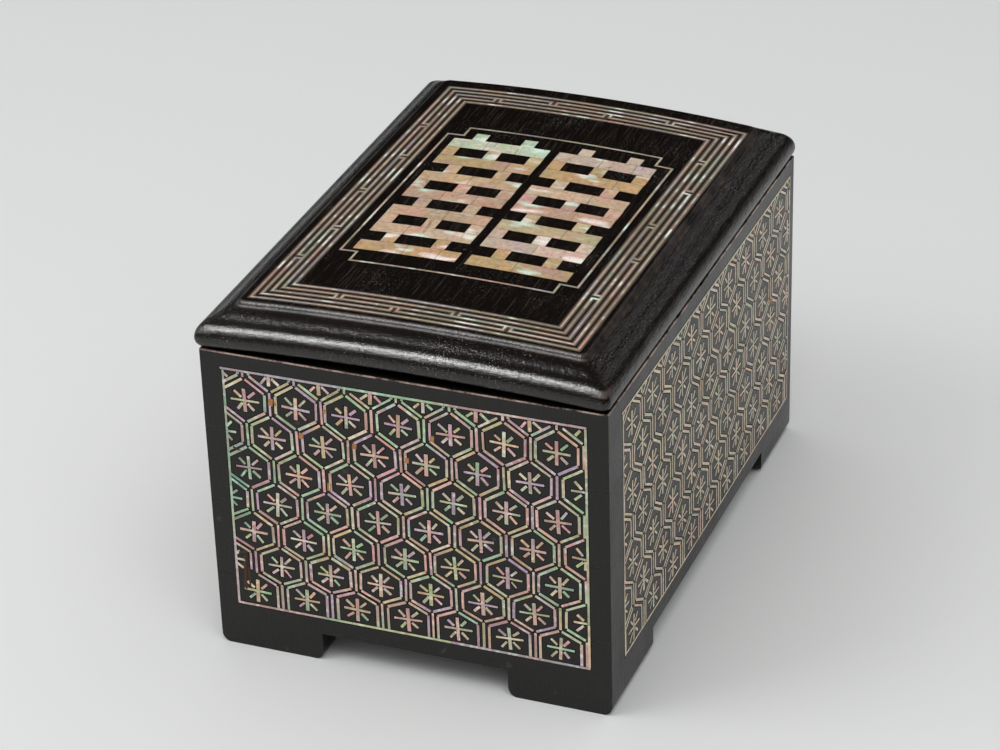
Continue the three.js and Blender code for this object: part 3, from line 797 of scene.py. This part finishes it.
# ---- Old filler in the walls ----
# Where strips were lost or set badly, gaps were filled long ago with an orange-brown putty of resin
# and wood dust. It lies in small dabs and short bars between the strips of shell.
FILLER_DABS = [
    # wall, from, to (along and up, mm), width
    ("front", (-55.6, 115.8), (-55.2, 119.0), 1.9), ("front", (-53.2, 116.2), (-53.4, 118.2), 1.3),
    ("front", (-32.5, 116.4), (-32.2, 118.4), 1.2), ("front", (-43.2, 103.2), (-43.0, 105.8), 2.0),
    ("front", (-20.6, 102.6), (-20.2, 105.0), 1.8), ("front", (12.6, 112.0), (12.9, 114.6), 1.7),
    ("front", (1.6, 100.4), (1.8, 102.8), 1.8), ("front", (-32.4, 81.4), (-32.2, 85.0), 1.5),
    ("front", (-72.6, 27.4), (-72.0, 43.6), 1.5), ("front", (-70.4, 29.6), (-70.5, 38.4), 0.9),
    ("front", (-74.6, 44.6), (-71.2, 45.4), 0.9), ("front", (-73.4, 94.2), (-69.8, 92.6), 1.0),
    ("right", (72.4, 80.6), (76.2, 78.2), 1.2), ("right", (86.9, 82.6), (91.3, 80.4), 2.6),
    ("right", (64.6, 60.2), (64.9, 63.4), 1.8), ("right", (101.0, 44.0), (104.6, 41.6), 1.3),
]
FILLER_COLOUR = "#b27c52"
FILLER_DARK = "#1f1813"
FILLER_GRAIN = 1.2              # mm
DARK_BEYOND = -66.0             # mm; the filler by the front's left line is nearly black

# Resin and wood dust: dull and a little rough, orange brown with darker grains in it
putty, tree = new_material("resin and wood dust putty")
place, x, _, _ = millimetres(tree)
lumps = add(tree, "TexNoise", {"Vector": place, "Scale": 1 / FILLER_GRAIN, "Detail": 4.0})
spots = add(tree, "MapRange", {"Value": lumps, "From Min": 0.35, "From Max": 0.65, "To Max": 0.35})
by_left_line = add(tree, "Math", {0: x, 1: DARK_BEYOND}, operation="LESS_THAN")
darkened = add(tree, "Math", {0: by_left_line, 1: 0.9}, operation="MULTIPLY")
darkness = add(tree, "Math", {0: spots, 1: darkened}, operation="MAXIMUM")
colour = add(tree, "Mix", {
    "Factor": darkness, 6: linear(FILLER_COLOUR), 7: linear(FILLER_DARK),
}, data_type="RGBA").outputs[2]
rough = add(tree, "Bump", {"Height": lumps, "Strength": 0.6, "Distance": 0.0003})
putty_shader = add(tree, "BsdfPrincipled", {
    "Base Color": colour, "Roughness": 0.55, "Specular IOR Level": 0.2, "Normal": rough,
})
add(tree, "OutputMaterial", {"Surface": putty_shader})

chance = random.Random(5)
for wall in ("front", "right"):
    dabs = new_inlay()
    for where, start, end, width in FILLER_DABS:
        if where == wall:
            lay_block(dabs, wall, start, end, width, 1.2 * PROUD, chance)
    dabs_piece = new_piece(f"{wall}_filler", dabs, putty)
    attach(dabs_piece, "root")


# ---- Lid ----
# One thick board, planed to a low bow and moulded round its edge: a fat nose, a second swelling, a
# flat band and a raised panel. Cloth and black lacquer cover it; it has warped up at the back left.
LID_HALF_WIDTH = 86.5
LID_HALF_DEPTH = 122.5
LID_UNDERSIDE = 136.7
BOX_HALF_WIDTH = 85
BOX_HALF_DEPTH = 121
BOW_RISE = 3.35
CORNER_LIFT = 4.2               # at the back left
BOW_CHANGE = 0.5                # more bow at the back than in the middle, and less at the front
LID_SHIFT = (-0.86, 0.46)       # the lid does not sit quite square on the box
PANEL_INSET = 15.0
PANEL_CORNER = 2.2
PANEL_HEIGHT = 15.5
PLUG_HALF_WIDTH = 69.2          # the step underneath, which keeps the lid in place
PLUG_HALF_DEPTH = 105.2
PLUG_CORNER = 1.0
PLUG_BOTTOM = 132.4
CORNER_LINES = 4
PANEL_COLUMNS = 36
PANEL_ROWS = 50
MOULDING_INSET = 13.2
NOSE_FROM = 80                  # mm from the middle; rings further out belong to the nose
CORNER_REACH = 7                # mm from a corner of the nose to which its lacquer is worn
CORNER_WEAR = 6                 # times as much as along the nose
CREASE = 42                     # degrees; edges at a greater angle stay sharp
# Rings from the raised panel's edge outwards and down: distance in from the lid's edge, height and
# corner radius, mm
EDGE_RINGS = [
    (14.5, 15.44, 2.6), (14.1, 15.28, 2.9), (13.7, 15.0, 3.2), (13.4, 14.6, 3.5), (13.2, 14.15, 3.7),
    (13.05, 13.72, 3.8), (12.8, 13.45, 3.9), (12.3, 13.32, 4.0), (11.4, 13.15, 4.1), (10.3, 12.9, 4.1),
    (9.2, 12.55, 4.0), (8.3, 12.15, 3.9), (7.4, 11.65, 3.8), (6.6, 11.15, 3.6), (5.8, 10.7, 3.4),
    (5.0, 10.36, 3.2), (4.2, 10.08, 3.0), (3.5, 9.8, 3.0), (2.9, 9.46, 3.0), (2.3, 9.0, 3.0),
    (1.7, 8.42, 3.0), (1.2, 7.8, 3.0), (0.75, 7.05, 3.0), (0.42, 6.3, 3.0), (0.2, 5.6, 3.0),
    (0.05, 4.9, 3.0), (0.0, 4.2, 3.0), (0.05, 3.4, 3.0), (0.2, 2.6, 3.0), (0.45, 1.9, 3.0),
    (0.8, 1.25, 3.0), (1.25, 0.75, 3.0), (1.8, 0.35, 3.0), (2.4, 0.1, 3.0), (3.0, 0.0, 3.0),
]
# Rings on which the lacquer is worn through, by their distance in, and how much: the foot of the
# panel, and the nose
WORN_RINGS = {
    14.5: 0.3, 14.1: 0.5, 13.7: 0.5, 13.4: 0.4, 13.2: 0.4, 13.05: 0.6, 12.8: 0.7, 12.3: 0.2,
    1.7: 0.1, 1.2: 0.1, 0.75: 0.1,
}


def warp_of_lid(x, y):
    """How far the warped board stands above a flat one, in mm."""
    across_box, along_box = x / BOX_HALF_WIDTH, y / BOX_HALF_DEPTH
    lift = CORNER_LIFT * ((1 - across_box) / 2) * ((1 + along_box) / 2)
    return lift + BOW_CHANGE * along_box * (1 - across_box ** 2)


def on_lid(x, y, height):
    """A place on the lid, in metres, from a place on the flat board in mm."""
    bow = BOW_RISE * (1 - (x / BOX_HALF_WIDTH) ** 2)
    level = LID_UNDERSIDE + height + bow + warp_of_lid(x, y)
    return Vector(((x + LID_SHIFT[0]) * MM, (y + LID_SHIFT[1]) * MM, level * MM))


def grid_lines(half, corner, count):
    """Places of a panel's grid lines: close together in the rounded corners, even between them."""
    close = [half - corner * (1 - i / CORNER_LINES) for i in range(1, CORNER_LINES + 1)]
    inner = half - corner
    even = [inner * (2 * i / count - 1) for i in range(count + 1)]
    return [-place for place in reversed(close)] + even + close


def rounded_corner(x, y, half_x, half_y, radius):
    """A place of a square-cornered grid moved so that the grid's corners are round."""
    over_x, over_y = abs(x) - (half_x - radius), abs(y) - (half_y - radius)
    if over_x <= 0 or over_y <= 0:
        return x, y
    pull = max(over_x, over_y) / math.hypot(over_x, over_y)
    new_x = half_x - radius + over_x * pull
    new_y = half_y - radius + over_y * pull
    return math.copysign(new_x, x), math.copysign(new_y, y)


def ring_to_ring(x, y, old, new):
    """Moves a place on one rounded rectangle to the next; each is half width, half depth, radius."""
    core_x, core_y = old[0] - old[2], old[1] - old[2]
    held_x, held_y = max(-core_x, min(core_x, x)), max(-core_y, min(core_y, y))
    out_x, out_y = (x - held_x) / old[2], (y - held_y) / old[2]
    new_x = held_x / core_x * (new[0] - new[2]) + out_x * new[2]
    new_y = held_y / core_y * (new[1] - new[2]) + out_y * new[2]
    return new_x, new_y


lid = bmesh.new()
flat = lid.verts.layers.float_vector.new("flat_place")
wear = lid.verts.layers.float.new("wear")
moulding = lid.verts.layers.float.new("moulding")
ring = (LID_HALF_WIDTH - PANEL_INSET, LID_HALF_DEPTH - PANEL_INSET, PANEL_CORNER)
panel_x = grid_lines(ring[0], PANEL_CORNER, PANEL_COLUMNS)
panel_y = grid_lines(ring[1], PANEL_CORNER, PANEL_ROWS)
bmesh.ops.create_grid(lid, x_segments=len(panel_x) - 1, y_segments=len(panel_y) - 1, size=1)
for vert in lid.verts:
    column = round((vert.co.x + 1) / 2 * (len(panel_x) - 1))
    row = round((vert.co.y + 1) / 2 * (len(panel_y) - 1))
    place_x, place_y = rounded_corner(panel_x[column], panel_y[row], *ring)
    vert[flat] = (place_x, place_y, PANEL_HEIGHT)

steps = [
    (LID_HALF_WIDTH - inset, LID_HALF_DEPTH - inset, radius, height, WORN_RINGS.get(inset, 0.0))
    for inset, height, radius in EDGE_RINGS
]
for height in (0.0, PLUG_BOTTOM - LID_UNDERSIDE):
    steps.append((PLUG_HALF_WIDTH, PLUG_HALF_DEPTH, PLUG_CORNER, height, 0.0))
rim = [edge for edge in lid.edges if edge.is_boundary]
for half_x, half_y, radius, height, worn_here in steps:
    grown = bmesh.ops.extrude_edge_only(lid, edges=rim)
    for vert in new_verts(grown):
        new_x, new_y = ring_to_ring(vert[flat].x, vert[flat].y, ring, (half_x, half_y, radius))
        vert[flat] = (new_x, new_y, height)
        by_corner = abs(new_x) > half_x - CORNER_REACH and abs(new_y) > half_y - CORNER_REACH
        times = CORNER_WEAR if by_corner and half_x > NOSE_FROM else 1
        vert[wear] = min(worn_here * times, 1.0)
        vert[moulding] = 1.0 if half_x > LID_HALF_WIDTH - MOULDING_INSET else 0.0
    rim = [item for item in grown["geom"] if isinstance(item, bmesh.types.BMEdge)]
    ring = (half_x, half_y, radius)
underside = bmesh.ops.contextual_create(lid, geom=rim)["faces"]
for vert in bmesh.ops.poke(lid, faces=underside)["verts"]:
    vert[flat] = (0.0, 0.0, PLUG_BOTTOM - LID_UNDERSIDE)
for vert in lid.verts:
    place_x, place_y, height = vert[flat]
    vert.co = on_lid(place_x, place_y, height)
    if height < -1:
        vert.co.z = (PLUG_BOTTOM + warp_of_lid(place_x, place_y)) * MM
bmesh.ops.recalc_face_normals(lid, faces=lid.faces)
for edge in lid.edges:
    edge.smooth = edge.calc_face_angle(0.0) < math.radians(CREASE)
lid.verts.layers.float_vector.remove(flat)

# The same lacquer, brushed the long way of the lid and rubbed dull by hands: fine streaks along it,
# pale specks where it has pitted, the weave of the cloth in its highlights, and pinkish wear along
# the foot of the raised panel and on the corners of the nose.
LID_COLOUR = "#130e0c"
STREAK_COLOUR = "#3a322c"
STREAK_WIDTH = 0.6              # mm; really about 0.3, drawn wider so that it shows
STREAK_LENGTH = 22.0
RIB_SPACING = 0.9               # mm; threads of the cloth, which the brush has joined into ribs
RIB_LENGTH = 4.0
SPECK_COLOUR = "#8c8782"
SPECK_SIZE = 0.55               # mm
FOOT_WEAR_COLOUR = "#594a44"

lid_lacquer, tree = new_material("brushed black lacquer")
place, *_ = millimetres(tree)
lengthwise = add(tree, "Mapping", {
    "Vector": place, "Scale": (1 / STREAK_WIDTH, 1 / STREAK_LENGTH, 1 / STREAK_WIDTH),
})
streaks = add(tree, "TexNoise", {"Vector": lengthwise, "Scale": 1.0, "Detail": 3.0})
streaked = add(tree, "MapRange", {"Value": streaks, "From Min": 0.56, "From Max": 0.72})
on_moulding = add(tree, "Attribute", {}, attribute_name="moulding").outputs["Fac"]
on_panel = add(tree, "Math", {0: on_moulding, 1: -0.8, 2: 1.0}, operation="MULTIPLY_ADD")
streaked = add(tree, "Math", {0: streaked, 1: on_panel}, operation="MULTIPLY")

# Pits show as pale specks, crowded in some places
dots = add(tree, "TexNoise", {"Vector": place, "Scale": 1 / SPECK_SIZE, "Detail": 1.0})
spread = add(tree, "TexNoise", {"Vector": place, "Scale": 0.04, "Detail": 3.0})
crowded = add(tree, "MapRange", {
    "Value": spread, "From Min": 0.35, "From Max": 0.65, "To Min": -0.14, "To Max": 0.0,
})
crowded = add(tree, "Math", {0: on_moulding, 1: 0.02, 2: crowded}, operation="MULTIPLY_ADD")
dots = add(tree, "Math", {0: dots, 1: crowded}, operation="ADD")
specks = add(tree, "MapRange", {"Value": dots, "From Min": 0.66, "From Max": 0.74, "To Max": 0.7})

# Wear, in patches along the worn rings
wear_here = add(tree, "Attribute", {}, attribute_name="wear").outputs["Fac"]
rub = add(tree, "TexNoise", {"Vector": place, "Scale": 0.08, "Detail": 6.0, "Roughness": 0.7})
patchy = add(tree, "MapRange", {"Value": rub, "From Min": 0.42, "From Max": 0.62})
worn = add(tree, "Math", {0: wear_here, 1: patchy}, operation="MULTIPLY")
colour = linear(LID_COLOUR)
for mark, mark_colour in ((streaked, STREAK_COLOUR), (specks, SPECK_COLOUR), (worn, FOOT_WEAR_COLOUR)):
    colour = add(tree, "Mix", {
        "Factor": mark, 6: colour, 7: linear(mark_colour),
    }, data_type="RGBA").outputs[2]

# Ribs across the brush, a fine grain, and on the moulding the pits
grain = add(tree, "TexNoise", {"Vector": place, "Scale": 1.4, "Detail": 3.0})
ribbed = add(tree, "Mapping", {
    "Vector": place, "Scale": (1 / RIB_SPACING, 1 / RIB_LENGTH, 1 / RIB_LENGTH),
})
ribs = add(tree, "TexNoise", {"Vector": ribbed, "Scale": 1.0, "Detail": 2.0})
relief = add(tree, "Math", {0: ribs, 1: 2.1, 2: grain}, operation="MULTIPLY_ADD")
pits = add(tree, "TexNoise", {"Vector": place, "Scale": 0.75, "Detail": 5.0, "Roughness": 0.7})
pitted = add(tree, "Math", {0: pits, 1: on_moulding}, operation="MULTIPLY")
relief = add(tree, "Math", {0: pitted, 1: 0.9, 2: relief}, operation="MULTIPLY_ADD")
surface = add(tree, "Bump", {"Height": relief, "Strength": 0.8, "Distance": 0.00018})
roughness = add(tree, "Math", {0: wear_here, 1: 0.5, 2: 0.23}, operation="MULTIPLY_ADD")
lid_shader = add(tree, "BsdfPrincipled", {
    "Base Color": colour, "Roughness": roughness, "IOR": 1.5, "Normal": surface,
})
add(tree, "OutputMaterial", {"Surface": lid_shader})

lid_piece = new_piece("moulded_lid", lid, lid_lacquer, smooth=True)
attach(lid_piece, "root")
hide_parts("lid")


# ---- Border of the lid ----
# Five narrow lines of pearl shell round the raised panel. The middle three are laid as brickwork:
# short ties join neighbouring lines, and one line of each course is parted between its ties.
INLAY_TURN = 0.00785            # the whole design is a little out of square with the lid
LID_LINE = 0.95                 # mm
BORDER_MIDDLE = (0.95, -2.5)
BORDER_HALF_WIDTH = 68.4
BORDER_HALF_LENGTH = 102.5
SIDE_PITCH = 3.09
END_PITCH = 3.33
BRICK_GAP = 1.8
TIE_WIDTH = 1.0
BRICK_JOINTS = {
    "front": {1: [-8.3, 38.8], 3: [-33.4, 15.9]},
    "back": {1: [-16.7, 37.0], 3: [-41.5, 9.6]},
    "left": {1: [-68.6, -6.2, 59.9], 3: [-41.2, 28.2]},
    "right": {1: [-28.7, 36.7], 3: [-63.3, 2.0, 65.2]},
}
BORDER_COLOURS = [
    "#c4a690", "#bd9c88", "#b29c86", "#aaa488", "#b69ea0", "#aca2aa", "#c89c8c", "#bea88e",
    "#a2aa9a", "#d2b8ac",
]
LID_GLUE_RIM = 0.75             # mm; round the lid's lines the glue spread further; its brown is partly a painted sheen
SHEET_STEPS = (7, 14)           # mm across and along the lid from one bend of a sheet to the next
SHORTEST_TILE = 0.3             # mm; anything narrower is left out
TILE_TILT = 0.02                # mm by which a tile's side may stand high or low
RIM_HEIGHTS = (0.005, 0.02)     # mm
CHANGING_TILES = 0.5            # of the tiles run from one colour to another
LEAST_LENGTH = 14               # mm
END_PLAY = 0.4                  # mm; a run is full when no more than this is left of it
LINE_CUT = (30, 4, 0.1)         # mm; longest length, remnant that stays on it, and joint
TIE_JOINT = 0.05
CORNER_JOINT = 0.1


def lay_sheet(mesh_work, x_range, y_range, proud, lean):
    """Lays one flat sheet in the lid, given by its sides in mm, bent to the lid's bow."""
    width, length = x_range[1] - x_range[0], y_range[1] - y_range[0]
    columns, rows = (max(1, round(size / step)) for size, step in zip((width, length), SHEET_STEPS))
    made = bmesh.ops.create_grid(mesh_work, x_segments=columns, y_segments=rows, size=0.5)["verts"]
    faces = list({face for vert in made for face in vert.link_faces})
    upper = set(new_verts(bmesh.ops.extrude_face_region(mesh_work, geom=faces)))
    middle = ((x_range[0] + x_range[1]) / 2, (y_range[0] + y_range[1]) / 2)
    for vert in [*made, *upper]:
        x = middle[0] + vert.co.x * width
        y = middle[1] + vert.co.y * length
        height = PANEL_HEIGHT + (proud + lean * vert.co.x * 2 if vert in upper else -LET_IN)
        vert.co = on_lid(x + INLAY_TURN * y, y - INLAY_TURN * x, height)
    return [*made, *upper], middle


def lay_tile(mesh_work, x_range, y_range, palette, chance, rim=LID_GLUE_RIM):
    """Lays one flat piece of shell in the lid, and the glue that rims it."""
    width, length = x_range[1] - x_range[0], y_range[1] - y_range[0]
    if min(width, length) < SHORTEST_TILE:
        return
    tilt = chance.uniform(-TILE_TILT, TILE_TILT)
    verts, middle = lay_sheet(mesh_work, x_range, y_range, PROUD, tilt)
    first = shell_colour(palette, *middle, chance)
    changes = chance.random() < CHANGING_TILES
    second = shell_colour(palette, *middle, chance) if changes else first
    direction = Vector((1, 0, 0)) if width > length else Vector((0, 1, 0))
    tint_strip(mesh_work, verts, first, second, on_lid(*middle, PANEL_HEIGHT), direction)
    wide, long = (x_range[0] - rim, x_range[1] + rim), (y_range[0] - rim, y_range[1] + rim)
    glued, _ = lay_sheet(mesh_work, wide, long, chance.uniform(*RIM_HEIGHTS), 0.0)
    for face in {face for vert in glued for face in vert.link_faces}:
        face.material_index = 1


def cut(low, high, longest, remnant, joint, chance):
    """Cuts a run of shell into lengths of a few centimetres, one at a time."""
    at = low
    while high - at > END_PLAY:
        reach = min(high, at + chance.uniform(LEAST_LENGTH, longest))
        if high - reach < remnant:
            reach = high
        yield at, reach - joint
        at = reach


def lengths(start, end, gaps, chance):
    """All the lengths of a line, leaving out the gaps."""
    bounds = [start]
    for gap in sorted(gaps):
        bounds += [gap - BRICK_GAP / 2, gap + BRICK_GAP / 2]
    bounds.append(end)
    pieces = []
    for low, high in zip(bounds[::2], bounds[1::2]):
        pieces += cut(low, high, *LINE_CUT, chance)
    return pieces


def border_rectangle(index):
    """Left, right, front and back of one of the border's lines."""
    x, y = BORDER_MIDDLE
    half_x = BORDER_HALF_WIDTH - index * SIDE_PITCH
    half_y = BORDER_HALF_LENGTH - index * END_PITCH
    return x - half_x, x + half_x, y - half_y, y + half_y


def lay_on_side(mesh_work, side, reach, band, chance):
    """Lays a tile in one side of the border, given by its reach along that side and its band across."""
    sides = (reach, band) if side in ("front", "back") else (band, reach)
    lay_tile(mesh_work, *sides, BORDER_COLOURS, chance)


def lay_border_line(mesh_work, index, chance):
    """Lays one of the border's five lines, with its gaps."""
    left, right, near, far = border_rectangle(index)
    half = LID_LINE / 2
    across_lid = (left - half, right + half)
    along_lid = (near + half + CORNER_JOINT, far - half - CORNER_JOINT)
    for side, at, (start, end) in (
        ("front", near, across_lid), ("back", far, across_lid), ("left", left, along_lid),
        ("right", right, along_lid),
    ):
        for reach in lengths(start, end, BRICK_JOINTS[side].get(index, []), chance):
            lay_on_side(mesh_work, side, reach, (at - half, at + half), chance)


def lay_ties(mesh_work, chance):
    """Lays the two short ties at each brick joint."""
    for side, courses in BRICK_JOINTS.items():
        for course, joints in courses.items():
            lines = (1, 2) if course == 1 else (2, 3)
            outer, inner = (border_rectangle(index) for index in lines)
            which = {"left": 0, "right": 1, "front": 2, "back": 3}[side]
            low, high = sorted((outer[which], inner[which]))
            band = (low + LID_LINE / 2 + TIE_JOINT, high - LID_LINE / 2 - TIE_JOINT)
            for joint in joints:
                for way in (-1, 1):
                    middle = joint + way * (BRICK_GAP + TIE_WIDTH) / 2
                    reach = (middle - TIE_WIDTH / 2, middle + TIE_WIDTH / 2)
                    lay_on_side(mesh_work, side, reach, band, chance)


# The lid's lines get broad, strong painted glints, standing in for the overhead light they catch.
# The soft, wide brown rim round them is partly browned glue, partly a painted sheen on the lacquer
lid_shell = pearl("pearl shell lines of the lid", 6.0, 0.15, 0.3, (0.12, 0.12, 0.12), 0.9, False)
lid_glue_and_sheen = plain("browned glue and painted sheen", "#53473e", 0.5, 0.3)
chance = random.Random(23)
for name, indices, node in (
    ("border_outer_line", [0], "lid_border_outer_line"),
    ("border_brickwork", [1, 2, 3], "lid_border_brickwork"),
    ("border_inner_line", [4], "lid_border_inner_line"),
):
    border = new_inlay()
    for index in indices:
        lay_border_line(border, index, chance)
    if len(indices) > 1:
        lay_ties(border, chance)
    bmesh.ops.recalc_face_normals(border, faces=border.faces)
    border_piece = new_piece(name, border, lid_shell, lid_glue_and_sheen)
    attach(border_piece, "root")
    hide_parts(node)


# ---- Cartouche line of the lid ----
# A single line of pearl shell round the middle field, stepped in at its four corners. It is laid
# in lengths end to end, let into the lacquer and held by dark hide glue.
CARTOUCHE_MIDDLE = (1.2, -2.4)
CARTOUCHE_HALF_WIDTH = 50.8
CARTOUCHE_SHOULDER = 56.6
CARTOUCHE_STEP_IN = 43.45
CARTOUCHE_HALF_LENGTH = 64.3

cartouche = new_inlay()
chance = random.Random(31)
half = LID_LINE / 2
for way_y in (-1, 1):
    y = CARTOUCHE_MIDDLE[1] + way_y * CARTOUCHE_HALF_LENGTH
    ends = [CARTOUCHE_MIDDLE[0] + way * (CARTOUCHE_STEP_IN + half) for way in (-1, 1)]
    for a, b in lengths(*ends, [], chance):
        lay_tile(cartouche, (a, b), (y - half, y + half), BORDER_COLOURS, chance)
    for way_x in (-1, 1):
        step_x = CARTOUCHE_MIDDLE[0] + way_x * CARTOUCHE_STEP_IN
        shoulder_y = CARTOUCHE_MIDDLE[1] + way_y * CARTOUCHE_SHOULDER
        low, high = sorted((y - way_y * half, shoulder_y + way_y * half))
        lay_tile(cartouche, (step_x - half, step_x + half), (low, high), BORDER_COLOURS, chance)
        side_x = CARTOUCHE_MIDDLE[0] + way_x * (CARTOUCHE_HALF_WIDTH + half)
        low, high = sorted((side_x, step_x - way_x * half))
        lay_tile(cartouche, (low, high), (shoulder_y - half, shoulder_y + half), BORDER_COLOURS, chance)
for way_x in (-1, 1):
    x = CARTOUCHE_MIDDLE[0] + way_x * CARTOUCHE_HALF_WIDTH
    ends = [CARTOUCHE_MIDDLE[1] + way * (CARTOUCHE_SHOULDER - half) for way in (-1, 1)]
    for a, b in lengths(*ends, [], chance):
        lay_tile(cartouche, (x - half, x + half), (a, b), BORDER_COLOURS, chance)
bmesh.ops.recalc_face_normals(cartouche, faces=cartouche.faces)
cartouche_piece = new_piece("cartouche_line", cartouche, lid_shell, glue)
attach(cartouche_piece, "root")
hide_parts("lid_cartouche_line")


# ---- Fret of the lid ----
# Two frets of level bars and short posts fill the cartouche, pieced from broad plates of pearl shell
# with hairline joints. The plates are larger than any other shell on the box, and show it best.
FRET_NEAR = -56.6
COURSE = 8.26
BARS = 7
POST_WIDTH = 6.0
TOP_POST_HEIGHT = 6.6
FRETS = {"left": (-45.2, -1.0), "right": (3.0, 46.5)}
FRET_COLOURS = {
    # the tone of each bar and the posts on it, from the front one back
    "left": ["#cf9f70", "#d8ae94", "#cfa58c", "#d3a08c", "#d6a984", "#cda26e", "#c6d6ba"],
    "right": ["#cfa070", "#dcbcae", "#c9b08a", "#d8a08e", "#d6b096", "#cda070", "#dabcae"],
}
FRET_GLUE_RIM = 0.2
PLATE_JOINT = 0.2
PLATE_CUT = (34, 5, PLATE_JOINT)


# Broad plates show the shell best: slow drifts of colour, painted glints drawn out across the lid,
# and hairline cracks
plate_shell = pearl("pearl shell plates", 14.0, 0.2, 0.28, (0.06, 0.16, 0.16), 0.85, True)
chance = random.Random(47)
for side, (start, end) in FRETS.items():
    fret = new_inlay()
    middle = (start + end) / 2
    quarters = [(start + middle) / 2, (middle + end) / 2]
    thirds = [start + POST_WIDTH / 2, middle, end - POST_WIDTH / 2]
    for bar in range(BARS):
        low = FRET_NEAR + 2 * bar * COURSE
        top = low + COURSE
        tone = [FRET_COLOURS[side][bar]]
        for reach in cut(start, end, *PLATE_CUT, chance):
            lay_tile(fret, reach, (low, top), tone, chance, FRET_GLUE_RIM)
        post_top = top + (COURSE if bar < BARS - 1 else TOP_POST_HEIGHT)
        for x in quarters if bar % 2 == 0 else thirds:
            sides = (x - POST_WIDTH / 2, x + POST_WIDTH / 2)
            post = (top + PLATE_JOINT, post_top - PLATE_JOINT)
            lay_tile(fret, sides, post, tone, chance, FRET_GLUE_RIM)
    bmesh.ops.recalc_face_normals(fret, faces=fret.faces)
    fret_piece = new_piece(f"fret_{side}", fret, plate_shell, glue)
    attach(fret_piece, "root")
    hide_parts(f"lid_lattice_{side}")
